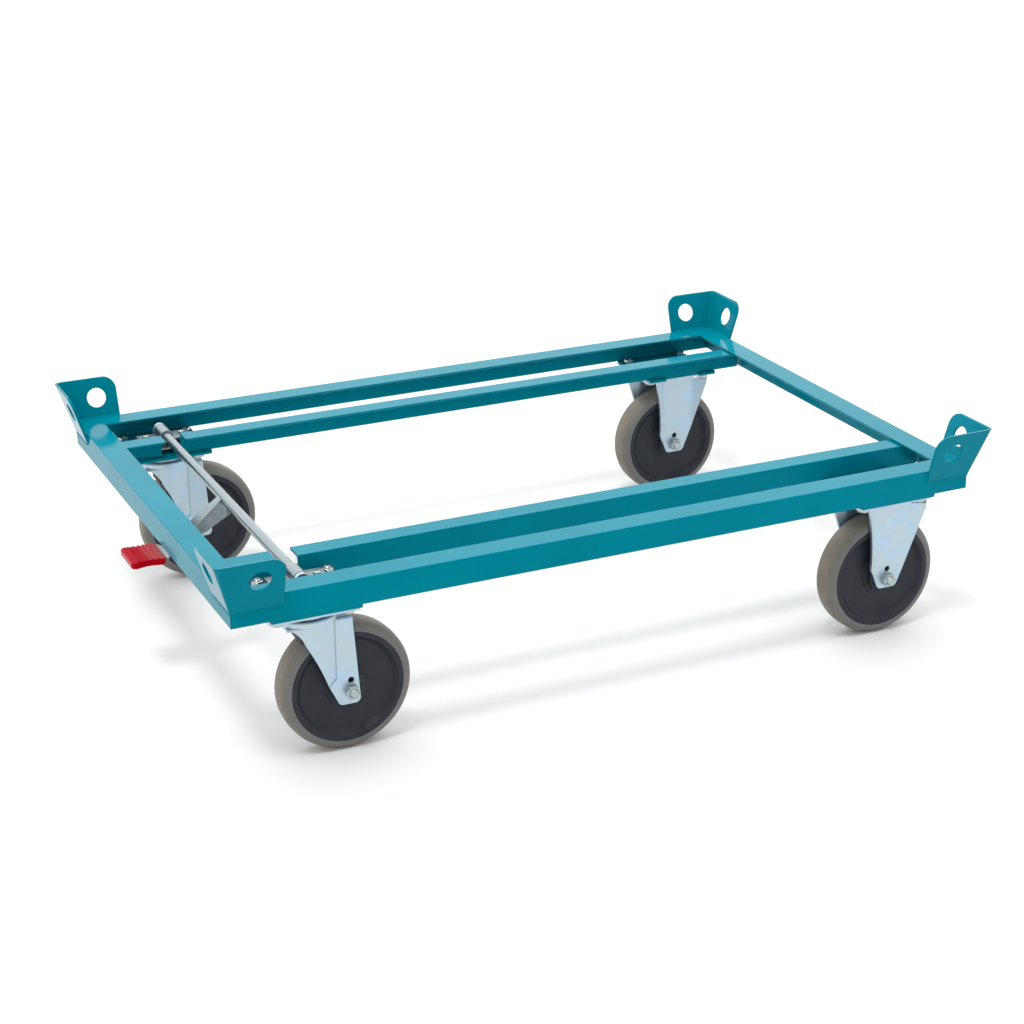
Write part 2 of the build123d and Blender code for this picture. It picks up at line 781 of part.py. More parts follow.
def bearing_bracket():
    """Strap on the inner bolts of the front swivel castor, with a raised saddle for the brake shaft."""
    with BuildPart() as bracket:
        with BuildSketch(Plane.XY.offset(strap_z)):
            with Locations((0, strap_from_castor)):
                Rectangle(strap_length, strap_width, align=(Align.CENTER, Align.MIN))
            with Locations((-bolt_spacing_x / 2, bolt_row), (bolt_spacing_x / 2, bolt_row)):
                Circle(bolt_hole / 2, mode=Mode.SUBTRACT)
        extrude(amount=bearing_sheet)
        with BuildSketch(Plane.XY.offset(strap_z)):
            with Locations((0, strap_from_castor)):
                Rectangle(clip_length, bearing_sheet, align=(Align.CENTER, Align.MIN))
        extrude(amount=saddle_z - strap_z)
        with BuildSketch(Plane.XY.offset(saddle_z)):
            with Locations((0, strap_from_castor)):
                Rectangle(clip_length, saddle_flange_depth, align=(Align.CENTER, Align.MAX))
                Rectangle(
                    saddle_opening, saddle_flange_depth, align=(Align.CENTER, Align.MAX), mode=Mode.SUBTRACT
                )
            with Locations((-clip_screw_spacing / 2, clip_screw_y), (clip_screw_spacing / 2, clip_screw_y)):
                Circle(clip_screw_diameter / 2 + seat_clearance, mode=Mode.SUBTRACT)
        extrude(amount=-bearing_sheet)
        with BuildSketch(Plane.XZ):
            with Locations((0, shaft_z)):
                Circle(saddle_radius)
        extrude(amount=-strap_from_castor - strap_width, mode=Mode.SUBTRACT)
    return bracket.part


def bearing_clip():
    """Clip bent over the brake shaft, with a wing each side that is screwed to the saddle."""
    arch_radius = saddle_radius + bearing_sheet
    with BuildPart() as clip:
        with BuildSketch(Plane((0, clip_start, 0), x_dir=(1, 0, 0), z_dir=(0, -1, 0))) as section:
            with Locations((0, saddle_z)):
                Rectangle(clip_length, bearing_sheet, align=(Align.CENTER, Align.MIN))
                Rectangle(2 * arch_radius, clip_drop, align=(Align.CENTER, Align.MIN))
            with Locations((0, shaft_z)):
                Circle(arch_radius)
            with Locations((0, saddle_z)):
                Rectangle(2 * arch_radius, arch_radius, align=(Align.CENTER, Align.MAX), mode=Mode.SUBTRACT)
            for side in (-1, 1):
                bend = (side * arch_radius, saddle_z + bearing_sheet)
                fillet(section.vertices().sort_by_distance(bend)[0], radius=clip_bend_radius)
            with Locations((0, saddle_z)):
                Rectangle(2 * saddle_radius, clip_drop, align=(Align.CENTER, Align.MIN), mode=Mode.SUBTRACT)
            with Locations((0, shaft_z)):
                Circle(saddle_radius, mode=Mode.SUBTRACT)
        extrude(amount=-clip_width)
        with BuildSketch(Plane.XY.offset(saddle_z)):
            with Locations((-clip_screw_spacing / 2, clip_screw_y), (clip_screw_spacing / 2, clip_screw_y)):
                Circle(clip_screw_diameter / 2 + seat_clearance)
        extrude(amount=bearing_sheet, mode=Mode.SUBTRACT)
    return clip.part


def push_rod():
    """Rod through the kingpin, with a flat head for the cam."""
    head_z = push_rod_top_z - push_rod_head_height
    with BuildPart() as rod:
        with BuildSketch(Plane.XY.offset(shoe_top_z)):
            Circle(push_rod_diameter / 2)
        extrude(amount=head_z - shoe_top_z)
        with BuildSketch(Plane.XY.offset(head_z)):
            Circle(push_rod_head_diameter / 2)
        extrude(amount=push_rod_head_height)
        chamfer(rod.edges().group_by(Axis.Z)[-1], length=push_rod_head_chamfer)
    return rod.part


def brake_shoe():
    """Block under the push rod, cut flat along the line that touches the tyre at the end of its stroke."""
    tyre_reach = wheel_diameter / 2 + shoe_gap
    face_rise = sqrt(tyre_reach**2 - trail**2)
    face_centre = (0, 0, axle_z + brake_stroke + face_rise)
    with BuildPart() as shoe:
        with BuildSketch(Plane.XZ):
            with Locations((-shoe_back, shoe_top_z)):
                Rectangle(shoe_back + shoe_front, shoe_depth, align=(Align.MIN, Align.MAX))
        extrude(amount=shoe_width / 2, both=True)
        split(bisect_by=Plane(origin=face_centre, z_dir=(-trail, 0, face_rise)), keep=Keep.TOP)
    return shoe.part


def lever_outline(top_drop):
    """Side view of the lever's channel, closed along its walls' lower edges; top_drop lowers its top line."""
    with BuildSketch(Plane.XZ) as side:
        with BuildLine():
            Polyline(
                (shaft_x - lever_start_reach, shaft_z + lever_start_rise - top_drop),
                (pedal_bend_x, pedal_plate_top_z - top_drop),
                (pedal_bend_x, pedal_plate_top_z - lever_heel_depth),
                (shaft_x - lever_knee_reach, shaft_z - lever_knee_drop),
                (shaft_x + lever_wall_reach, shaft_z - lever_wall_drop),
                (shaft_x, shaft_z),
                close=True,
            )
        make_face()
    return side.sketch


def lever_plan(inset):
    """Plan of the lever's channel, narrow at the shaft and wide at the bend."""
    half_widths = (
        (shaft_x + lever_wall_reach, lever_width_at_shaft / 2 - inset),
        (shaft_x, lever_width_at_shaft / 2 - inset),
        (shaft_x - lever_knee_reach, lever_width_at_knee / 2 - inset),
        (pedal_bend_x, lever_width_at_bend / 2 - inset),
    )
    upper = [(x, half) for x, half in half_widths]
    lower = [(x, -half) for x, half in reversed(half_widths)]
    with BuildSketch() as plan:
        with BuildLine():
            Polyline(*upper, *lower, close=True)
        make_face()
    return plan.sketch


def lever_solid(top_drop, inset):
    """Solid that fills the lever's channel between its side view and its plan."""
    with BuildPart() as solid:
        extrude(lever_outline(top_drop), amount=lever_width_at_bend, both=True)
        extrude(lever_plan(inset), amount=frame_top, mode=Mode.INTERSECT)
    return solid.part


def pedal_lever():
    """Lever welded to the brake shaft: a channel that opens downward and ends in a flat plate."""
    slope = lever_drop / lever_reach
    sheet_drop = lever_sheet * sqrt(1 + slope**2)
    with BuildPart() as lever:
        add(lever_solid(0, 0))
        add(lever_solid(sheet_drop, lever_sheet), mode=Mode.SUBTRACT)
        with BuildSketch(Plane.XY.offset(pedal_plate_top_z)):
            with BuildLine():
                Polyline(
                    (pedal_bend_x, lever_width_at_bend / 2),
                    (pedal_bend_x - pedal_plate_shoulder, pedal_plate_width / 2),
                    (pad_start_x, pedal_plate_width / 2),
                    (pad_start_x, pedal_tongue_width / 2),
                    (pedal_plate_end_x, pedal_tongue_width / 2),
                    (pedal_plate_end_x, -pedal_tongue_width / 2),
                    (pad_start_x, -pedal_tongue_width / 2),
                    (pad_start_x, -pedal_plate_width / 2),
                    (pedal_bend_x - pedal_plate_shoulder, -pedal_plate_width / 2),
                    (pedal_bend_x, -lever_width_at_bend / 2),
                    close=True,
                )
            make_face()
        extrude(amount=-lever_sheet)
        with BuildSketch(Plane.XZ):
            with Locations((shaft_x, shaft_z)):
                Circle(shaft_radius + seat_clearance)
        extrude(amount=lever_width_at_shaft, both=True, mode=Mode.SUBTRACT)
    return lever.part


def pedal_pad():
    """Moulded pad pushed over the pedal plate, with pulled-in sides and cross ribs."""
    x_right = pad_start_x - seat_clearance
    x_left = pedal_plate_end_x - pad_end_wall
    middle_x = (x_left + x_right) / 2
    half = pad_width / 2
    bottom_z = pedal_plate_top_z - lever_sheet - pad_under
    body_z = pedal_plate_top_z + pad_over
    with BuildPart() as pad:
        with BuildSketch(Plane.XY.offset(bottom_z)) as outline:
            with BuildLine():
                Line((x_right, -half), (x_right, half))
                ThreePointArc((x_right, half), (middle_x, half - pad_waist), (x_left, half))
                Line((x_left, half), (x_left, -half))
                ThreePointArc((x_left, -half), (middle_x, pad_waist - half), (x_right, -half))
            make_face()
            fillet(outline.vertices(), radius=pad_corner_radius)
        extrude(amount=body_z - bottom_z)
        fillet(pad.faces().filter_by(Axis.Z).edges(), radius=pad_edge_radius)
        with BuildSketch(Plane.XY.offset(body_z - pad_edge_radius)):
            with Locations((middle_x, 0)):
                with GridLocations(pad_rib_pitch, 1, pad_rib_count, 1):
                    SlotOverall(2 * (half - pad_rib_margin), pad_rib_width, rotation=90)
        extrude(amount=pad_edge_radius + pad_rib_height)
        with BuildSketch(Plane.XY.offset(pedal_plate_top_z + seat_clearance)):
            with Locations((pedal_plate_end_x - seat_clearance, 0)):
                Rectangle(
                    pedal_plate_length + seat_clearance,
                    pedal_tongue_width + 2 * seat_clearance,
                    align=(Align.MIN, Align.CENTER),
                )
        extrude(amount=-lever_sheet - 2 * seat_clearance, mode=Mode.SUBTRACT)
    return pad.part


def brake_cams():
    """A ring with a finger at each end of the brake shaft, over the push rods."""
    with BuildPart() as cams:
        for y in (-castor_y, castor_y):
            with BuildSketch(Plane((shaft_x, y, shaft_z), x_dir=(1, 0, 0), z_dir=(0, -1, 0))):
                Circle(shaft_radius + cam_ring_wall)
                with Locations(Location((0, 0), 180 + cam_rest_angle)):
                    SlotCenterPoint((cam_reach / 2, 0), (cam_reach, 0), 2 * cam_tip_radius)
                Circle(shaft_radius + seat_clearance, mode=Mode.SUBTRACT)
            extrude(amount=cam_width / 2, both=True)
    return cams.part


def castor_fasteners():
    """Bolts and nuts that hold the four castors, in two groups."""
    with BuildPart() as bolts:
        for x, plate_z in ((-castor_x, swivel_plate_z), (castor_x, fixed_plate_z)):
            for y, inner in ((-castor_y, 1), (castor_y, -1)):
                for row in (inner, -inner):
                    carries_strap = x < 0 and row == inner
                    top_z = strap_z + bolt_tip
                    if carries_strap:
                        top_z = strap_z + bearing_sheet + bolt_nut_height + long_bolt_tip
                    bolt = hex_bolt(bolt_diameter, top_z - plate_z, bolt_head_width, bolt_head_height)
                    for across in (-1, 1):
                        with Locations((x + across * bolt_spacing_x / 2, y + row * bolt_row, plate_z)):
                            add(bolt)
    nut = hex_prism(bolt_head_width, bolt_nut_height, bolt_diameter + 2 * seat_clearance)
    with BuildPart() as nuts:
        for x in (-castor_x, castor_x):
            for y in (-castor_y, castor_y):
                with Locations((x, y, rail_z)):
                    with GridLocations(bolt_spacing_x, bolt_spacing_y, 2, 2):
                        add(nut)
        for y in (bolt_row - castor_y, castor_y - bolt_row):
            with Locations((-castor_x, y, strap_z + bearing_sheet)):
                with GridLocations(bolt_spacing_x, 1, 2, 1):
                    add(nut)
    return bolts.part, nuts.part


def clip_screws():
    """Screws and nuts of the two bearing clips, as one group."""
    flange_under_z = saddle_z - bearing_sheet
    wing_z = saddle_z + bearing_sheet
    length = wing_z - flange_under_z + clip_nut_height + clip_screw_tip
    screw = hex_bolt(clip_screw_diameter, length, clip_screw_head_width, clip_screw_head_height)
    nut = hex_prism(clip_screw_head_width, clip_nut_height, clip_screw_diameter + 2 * seat_clearance)
    with BuildPart() as screws:
        for y in (clip_screw_y - castor_y, castor_y - clip_screw_y):
            for side in (-1, 1):
                x = shaft_x + side * clip_screw_spacing / 2
                with Locations(Location((x, y, wing_z), (180, 0, 0))):
                    add(screw)
                with Locations(Location((x, y, flange_under_z), (180, 0, 0))):
                    add(nut)
    return screws.part


def axle_bolts(x, y_places, face):
    """Axle bolts with their nuts on the front, for the castors at the given places."""
    length = 2 * face + axle_nut_height + axle_end
    bolt = hex_bolt(axle_diameter, length, axle_nut_width, axle_head_height)
    nut = hex_prism(axle_nut_width, axle_nut_height, axle_diameter + 2 * seat_clearance)
    with BuildPart() as axles:
        for y in y_places:
            with Locations(Location((x, y + face, axle_z), (90, 0, 0))):
                add(bolt)
            with Locations(Location((x, y - face, axle_z), (90, 0, 0))):
                add(nut)
    return axles.part


os.makedirs("parts", exist_ok=True)

# Frame
save(frame_rail(Vector(0, 1, 0), frame_length, frame_width), "front_rail")
save(frame_rail(Vector(0, -1, 0), frame_length, frame_width), "rear_rail")
save(frame_rail(Vector(1, 0, 0), frame_width, frame_length), "left_rail")
save(frame_rail(Vector(-1, 0, 0), frame_width, frame_length), "right_rail")
for side_name, inward in (("front", Vector(0, 1, 0)), ("rear", Vector(0, -1, 0))):
    save(inner_rail(inward, shaft_x + shaft_gap / 2, inner_rail_end), f"{side_name}_inner_rail")
    save(inner_rail(inward, -inner_rail_end, shaft_x - shaft_gap / 2), f"{side_name}_inner_rail_stub")

# Corner brackets and mount plates
bracket = corner_bracket()
corner_turns = (
    ("front_left", -1, -1, 0.0),
    ("front_right", 1, -1, 90.0),
    ("rear_right", 1, 1, 180.0),
    ("rear_left", -1, 1, 270.0),
)
for corner_name, along, across, turn in corner_turns:
    at_corner = Location((along * frame_length / 2, across * frame_width / 2, frame_top), (0, 0, turn))
    save(bracket.moved(at_corner), f"corner_bracket_{corner_name}")
plates = {"left": (-castor_x, mount_plate(True)), "right": (castor_x, mount_plate(False))}
for end_name, (x, plate) in plates.items():
    for side_name, y, turn in front_and_rear:
        save(placed(plate, x, y, turn), f"mount_plate_{side_name}_{end_name}")

# Castors, wheels and brake pieces, front and rear
swivel_top = swivel_plate()
fork = swivel_fork()
pin = kingpin()
balls = swivel_balls()
fixed = fixed_fork()
saddle = bearing_bracket()
clip = bearing_clip()
rod = push_rod()
shoe = brake_shoe()
sleeve = round_sleeve(axle_sleeve_diameter / 2, axle_diameter / 2 + seat_clearance, fork_gap)
bearing = round_sleeve(
    bearing_diameter / 2, axle_sleeve_diameter / 2 + running_clearance, bearing_length
)
wheel_pieces = (("tyre", tyre()), ("wheel_centre", wheel_centre()), ("wheel_bearing", bearing))
for side_name, y, turn in front_and_rear:
    save(placed(swivel_top, -castor_x, y), f"swivel_plate_{side_name}")
    save(placed(fork, -castor_x, y), f"swivel_fork_{side_name}")
    save(placed(pin, -castor_x, y), f"kingpin_{side_name}")
    save(placed(balls, -castor_x, y), f"swivel_balls_{side_name}")
    save(axle_bolts(trail - castor_x, [y], fork_face), f"swivel_axle_bolt_{side_name}")
    swivel_axle = Location((trail - castor_x, y, axle_z))
    save(sleeve.moved(swivel_axle), f"swivel_axle_sleeve_{side_name}")
    save(placed(fixed, castor_x, y), f"fixed_fork_{side_name}")
    save(placed(saddle, -castor_x, y, turn), f"bearing_bracket_{side_name}")
    save(placed(clip, -castor_x, y, turn), f"bearing_clip_{side_name}")
    save(placed(rod, -castor_x, y), f"push_rod_{side_name}")
    save(placed(shoe, -castor_x, y), f"brake_shoe_{side_name}")
    for end_name, x in (("left", trail - castor_x), ("right", fixed_axle_x)):
        for piece_name, piece in wheel_pieces:
            save(piece.moved(Location((x, y, axle_z))), f"{piece_name}_{side_name}_{end_name}")

# Groups of like pieces
save(axle_bolts(fixed_axle_x, [-castor_y, castor_y], fixed_face), "fixed_axle_bolts")
with BuildPart() as fixed_sleeves:
    with Locations((fixed_axle_x, -castor_y, axle_z), (fixed_axle_x, castor_y, axle_z)):
        add(sleeve)
save(fixed_sleeves.part, "fixed_axle_sleeves")
castor_bolts, castor_nuts = castor_fasteners()
save(castor_bolts, "castor_bolts")
save(castor_nuts, "castor_nuts")
save(clip_screws(), "clip_screws")

# Brake pedal
shaft_tube = round_sleeve(shaft_radius, shaft_radius - shaft_wall, shaft_length)
save(shaft_tube.moved(Location((shaft_x, 0, shaft_z))), "brake_shaft")
save(brake_cams(), "brake_cams")
save(pedal_lever(), "pedal_lever")
save(pedal_pad(), "pedal_pad")
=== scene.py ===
"""Looks of the pallet dolly: each solid piece's finish, and the surfaces modelled over them."""

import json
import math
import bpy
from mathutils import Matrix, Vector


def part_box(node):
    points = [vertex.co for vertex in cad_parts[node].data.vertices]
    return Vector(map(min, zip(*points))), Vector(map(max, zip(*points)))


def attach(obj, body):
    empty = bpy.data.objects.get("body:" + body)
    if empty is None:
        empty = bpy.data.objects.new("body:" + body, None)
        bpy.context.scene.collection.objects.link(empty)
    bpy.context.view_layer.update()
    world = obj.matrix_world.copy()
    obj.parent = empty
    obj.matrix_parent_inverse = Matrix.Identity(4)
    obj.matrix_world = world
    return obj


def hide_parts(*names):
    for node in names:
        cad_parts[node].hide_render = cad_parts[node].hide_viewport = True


bl_info = {
    "name": "Pallet dolly",
    "version": (1, 0, 0),
    "blender": (4, 5, 0),
    "location": "View3D > Sidebar > Dolly",
    "description": "Dresses the pallet dolly's solid pieces and sets up a plain studio around it",
    "category": "Object",
}

import bmesh
import bpy
import numpy as np
from bpy.props import FloatProperty, FloatVectorProperty, IntProperty, PointerProperty

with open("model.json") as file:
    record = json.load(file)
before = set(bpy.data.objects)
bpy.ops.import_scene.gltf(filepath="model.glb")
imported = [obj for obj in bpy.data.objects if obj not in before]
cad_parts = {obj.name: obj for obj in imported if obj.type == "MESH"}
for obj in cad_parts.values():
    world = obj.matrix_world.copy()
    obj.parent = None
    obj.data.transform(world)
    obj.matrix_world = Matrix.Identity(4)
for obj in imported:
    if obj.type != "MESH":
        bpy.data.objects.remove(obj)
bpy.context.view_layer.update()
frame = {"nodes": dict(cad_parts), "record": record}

MM = 0.001
SIDES = ("front", "rear")
WHEELS = ("front_left", "rear_left", "front_right", "rear_right")
OTHER_FINISHES = {
    "brake_shaft": "drawn_zinc",
    "pedal_lever": "dull_zinc",
    "bearing_bracket_front": "dull_zinc",
    "bearing_bracket_rear": "dull_zinc",
    "bearing_clip_front": "dull_zinc",
    "bearing_clip_rear": "dull_zinc",
}

# Points closer than this are one point, and a piece is shaded smooth up to this turn
MERGE = 1e-7
CREASE = math.radians(35.0)

# Noise lies mostly between these values
NOISE_LOW = 0.3
NOISE_HIGH = 0.7

# Edge radii of the tyres, and the reach of the seam's slope to either side
GROOVE_EDGE = 0.2 * MM
TYRE_EDGE = 0.6 * MM
SEAM_REACH = 0.7 * MM

# Edge radii of the wheel centres, from the bore out to the rim
BORE_EDGE = 0.6 * MM
HUB_EDGE = 1.6 * MM
HUB_ROOT = 1.2 * MM
STEP_EDGE = 1.0 * MM
STEP_ROOT = 1.6 * MM
CONE_ROOT = 4.0 * MM
RING_EDGE = 2.0 * MM
RIM_EDGE = 0.5 * MM

# A hexagon's sides, and the points on each
FLATS = 6
FLAT_STEPS = 8

# A hexagon's bevelled rim: its depth and its inner radius as shares of the width, slope and rows
RIM_DEPTH = 0.06
RIM_START = 0.475
RIM_SLOPE = math.radians(30.0)
RIM_STEPS = 7

# Rows of points to each pitch of a thread, its groove's depth in pitches, and a nut's play on it
THREAD_STEPS = 12
THREAD_DEPTH = 0.6
NUT_PLAY = 0.05 * MM

# Turns that keep the hexagons from standing in line: an axle's bolt and nut, the step from one
# bolt, nut or screw to the next, and a clip nut's turn past its screw
AXLE_TURN = 0.3
AXLE_NUT_TURN = 0.4
BOLT_TURN = 0.9
NUT_TURN = 1.7
SCREW_TURN = 0.8
CLIP_NUT_TURN = 0.5

# Points along each ripple of a weld bead, along a short bead and round it, and the share of its
# radius that swells
RIPPLE_STEPS = 6
SHORT_BEAD_STEPS = 8
BEAD_STEPS = 14
SWELL = 0.14

# Ends of the beads at the brackets, the points round a foot's corner, and how far the beads
# behind the legs stand out and sink in
FOOT_BEAD_START = 1.5 * MM
FOOT_BEAD_END = 2.0 * MM
FOOT_CORNER_STEPS = 9
CREASE_BEAD_END = 2.0 * MM
CREASE_BEAD_OUT = 1.0 * MM
CREASE_BEAD_SINK = 0.4 * MM

# Length of the beads on the mount plates, their distance from the plates' ends, the rail's wall
PLATE_BEAD_LENGTH = 30.0 * MM
PLATE_BEAD_MARGIN = 1.0 * MM
RAIL_WALL = 4.0 * MM

# Half the floor's length, how far the camera sees, and the stretches of the light's direction
# over which the walls brighten from front to back and the ceiling from low to overhead
FLOOR_REACH = 60.0
CAMERA_REACH = 100.0
WALLS = (-1.0, 0.7)
CEILING = (0.4, 1.0)


def middle(node):
    """Middle of a solid piece's box at rest."""
    low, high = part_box(node)
    return (low + high) / 2


def box_radius(node):
    """Radius of a round piece that lies along Y."""
    low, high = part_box(node)
    return (high.x - low.x) / 2


def colour_property(name, description, default):
    """A colour of a finish, in linear light."""
    return FloatVectorProperty(
        name=name,
        description=description,
        default=default,
        subtype="COLOR",
        size=3,
        min=0.0,
        max=1.0,
    )


def length_property(name, description, millimetres):
    """A length on the object, given in millimetres and kept in metres."""
    return FloatProperty(
        name=name,
        description=description,
        default=millimetres * MM,
        unit="LENGTH",
        min=0.0,
        precision=5,
    )


def light_property(name, description, default):
    """The strength of a light."""
    return FloatProperty(name=name, description=description, default=default, min=0.0)


class DollyFinishes(bpy.types.PropertyGroup):
    """Colours of the dolly's finishes."""

    teal: colour_property("Teal", "Gloss paint of the frame", (0.0, 0.184, 0.248))
    zinc: colour_property("Zinc", "Bright zinc of the castors", (0.44, 0.57, 0.67))
    brake: colour_property("Brake", "Duller zinc of the brake's metal", (0.27, 0.32, 0.335))
    fastener: colour_property("Fastener", "Zinc plate of bolts and nuts", (0.42, 0.48, 0.48))
    steel: colour_property("Steel", "Ground steel of balls and sleeves", (0.55, 0.56, 0.58))
    tyre: colour_property("Tyre", "Grey rubber of the tyres", (0.132, 0.132, 0.124))
    tread: colour_property("Tread", "Rubber of the treads, browned by use", (0.152, 0.132, 0.103))
    wheel: colour_property("Wheel", "Moulded plastic of the wheel centres", (0.017, 0.02, 0.029))
    bush: colour_property("Bush", "Oil-dark bronze of the wheel bushes", (0.06, 0.05, 0.04))
    shoe: colour_property("Shoe", "Black rubber of the brake shoes", (0.025, 0.025, 0.026))
    pedal: colour_property("Pedal", "Moulded plastic of the pedal pad", (0.34, 0.0, 0.008))


class DollyWheels(bpy.types.PropertyGroup):
    """Sizes of the wheels' moulded detail."""

    shoulder: length_property("Shoulder", "Radius of the tyre's shoulders", 14.0)
    crown: length_property("Crown", "Rise of the tread's middle over its edges", 0.5)
    mould_line: length_property("Mould line", "Height of the seam round the tread", 0.15)
    lip_depth: length_property("Lip depth", "Depth of the groove that holds the tyre", 3.0)
    lip_width: length_property("Lip width", "Width of the rim's lips beside the tyre", 3.0)
    ring_width: length_property("Ring width", "Width of the flat ring round the rim", 7.5)
    cone_width: length_property("Cone width", "Reach of the slope from the ring to the web", 7.0)
    recess: length_property("Recess", "Depth of the web below the rim's ring", 8.0)
    hub_radius: length_property("Hub radius", "Radius of the hub's boss", 26.0)
    hub_ring_width: length_property("Hub ring width", "Width of the step round the hub's boss", 6.0)
    hub_ring_height: length_property("Hub ring height", "Height of the step over the web", 3.0)
    bore: length_property("Bore", "Radius of the hole for the bush", 14.05)
    segments: IntProperty(name="Segments", description="Steps round a wheel", default=192, min=24)


class DollyWelds(bpy.types.PropertyGroup):
    """Sizes of the weld beads on the frame."""

    foot_bead: length_property("Foot bead", "Radius of the beads round the brackets' feet", 2.0)
    crease_bead: length_property("Crease bead", "Radius of the beads behind the brackets", 2.2)
    plate_bead: length_property("Plate bead", "Radius of the beads on the mount plates", 2.6)
    ripple: length_property("Ripple", "Distance from one ripple of a bead to the next", 2.6)
    reach: length_property("Reach", "Length of a bracket's leg from the frame's corner", 76.0)
    foot_drop: length_property("Foot drop", "Depth of a bracket's foot below the frame's top", 19.0)
    foot_corner: length_property("Foot corner", "Radius of the corner of a bracket's foot", 9.0)


class DollyFasteners(bpy.types.PropertyGroup):
    """Sizes of the bolts, screws and nuts."""

    castor_width: length_property("Castor width", "Width of the castor bolts' hexagons", 17.0)
    castor_head: length_property("Castor head", "Height of the castor bolts' heads", 6.4)
    castor_nut: length_property("Castor nut", "Height of the castor nuts", 8.0)
    castor_radius: length_property("Castor radius", "Radius of the castor bolts", 5.0)
    castor_pitch: length_property("Castor pitch", "Pitch of the castor bolts' threads", 1.5)
    castor_inset: length_property("Castor inset", "Castor bolts' distance from plate edges", 15.0)
    swivel_plate: length_property("Swivel plate", "Thickness of the swivel castors' plates", 6.0)
    fixed_plate: length_property("Fixed plate", "Thickness of the fixed castors' plates", 5.0)
    strap: length_property("Strap", "Thickness of the bearing brackets", 3.0)
    castor_tip: length_property("Castor tip", "Reach of a castor bolt past its nut", 1.0)
    long_tip: length_property("Long tip", "Reach of a longer castor bolt past its second nut", 3.0)
    axle_width: length_property("Axle width", "Width of the axle bolts' hexagons", 19.0)
    axle_head: length_property("Axle head", "Height of the axle bolts' heads", 7.5)
    axle_nut: length_property("Axle nut", "Height of the axle nuts", 10.0)
    axle_radius: length_property("Axle radius", "Radius of the axle bolts", 6.0)
    axle_pitch: length_property("Axle pitch", "Pitch of the axle bolts' threads", 1.75)
    axle_tip: length_property("Axle tip", "Reach of an axle bolt past its nut", 3.5)
    clip_width: length_property("Clip width", "Width of the clip screws' hexagons", 10.0)
    clip_head: length_property("Clip head", "Height of the clip screws' heads", 4.0)
    clip_nut: length_property("Clip nut", "Height of the clip nuts", 5.0)
    clip_radius: length_property("Clip radius", "Radius of the clip screws", 3.0)
    clip_pitch: length_property("Clip pitch", "Pitch of the clip screws' threads", 1.0)
    clip_tip: length_property("Clip tip", "Reach of a clip screw past its nut", 1.0)


class DollyStage(bpy.types.PropertyGroup):
    """Camera, light and floor."""

    camera_place: FloatVectorProperty(
        name="Camera place",
        description="Camera's place over the floor",
        default=(-1.3719, -2.9330, 1.4714),
        subtype="TRANSLATION",
        unit="LENGTH",
    )
    camera_turn: FloatVectorProperty(
        name="Camera turn",
        description="Camera's rotation",
        default=(math.radians(67.9584), math.radians(0.2045), math.radians(-25.2415)),
        subtype="EULER",
        unit="ROTATION",
    )
    lens: FloatProperty(
        name="Lens",
        description="Focal length",
        default=75.02,
        unit="CAMERA",
        min=1.0,
    )
    floor: colour_property("Floor", "Pale studio floor", (0.68, 0.68, 0.68))
    back_light: light_property("Back light", "Brightness of the white sweep behind", 1.6)
    front_light: light_property("Front light", "Brightness of the dimmer room in front", 0.7)
    top_light: light_property("Top light", "Brightness that the white ceiling adds", 0.5)
    lamp: light_property("Lamp", "Strength of the lamp that draws the frame's shadow", 1.2)
    lamp_turn: FloatVectorProperty(
        name="Lamp turn",
        description="Rotation of the lamp, which shines from the front left and above",
        default=(math.radians(12.5), math.radians(-15.5), 0.0),
        subtype="EULER",
        unit="ROTATION",
    )
    lamp_spread: FloatProperty(
        name="Lamp spread",
        description="Angle that the lamp fills",
        default=math.radians(12.0),
        subtype="ANGLE",
    )


# Materials


def start_material(name):
    """A new node material, its node tree and its shader.

    The frame's own plain material keeps the bare name."""
    material = bpy.data.materials.new(f"{name}_finish")
    material.use_nodes = True
    tree = material.node_tree
    return material, tree, tree.nodes["Principled BSDF"]


def noise(tree, scale, detail=2.0, stretch=(1.0, 1.0, 1.0)):
    """Noise in the piece's own coordinates, `scale` cells to a metre of each stretched axis."""
    place = tree.nodes.new("ShaderNodeTexCoord")
    mapping = tree.nodes.new("ShaderNodeMapping")
    mapping.inputs["Scale"].default_value = stretch
    texture = tree.nodes.new("ShaderNodeTexNoise")
    texture.inputs["Scale"].default_value = scale
    texture.inputs["Detail"].default_value = detail
    tree.links.new(place.outputs["Object"], mapping.inputs["Vector"])
    tree.links.new(mapping.outputs["Vector"], texture.inputs["Vector"])
    return texture.outputs["Fac"]


def ramp(tree, value, stops):
    """Colours along a value, from (position, colour) stops."""
    node = tree.nodes.new("ShaderNodeValToRGB")
    elements = node.color_ramp.elements
    while len(elements) < len(stops):
        elements.new(0.5)
    for element, (position, colour) in zip(elements, stops):
        element.position = position
        element.color = (*colour, 1.0)
    tree.links.new(value, node.inputs["Fac"])
    return node.outputs["Color"]


def change(tree, value, start, end, low, high):
    """A number that goes evenly from low to high while a value goes from start to end."""
    node = tree.nodes.new("ShaderNodeMapRange")
    node.inputs["From Min"].default_value = start
    node.inputs["From Max"].default_value = end
    node.inputs["To Min"].default_value = low
    node.inputs["To Max"].default_value = high
    tree.links.new(value, node.inputs["Value"])
    return node.outputs["Result"]


def roughen(tree, shader, value, low, high):
    """Roughness that a value from noise moves over a range."""
    roughness = change(tree, value, NOISE_LOW, NOISE_HIGH, low, high)
    tree.links.new(roughness, shader.inputs["Roughness"])


def soft_edges(tree, radius):
    """Surface direction that turns gently over edges, as paint and plating do."""
    node = tree.nodes.new("ShaderNodeBevel")
    node.samples = 4
    node.inputs["Radius"].default_value = radius
    return node.outputs["Normal"]


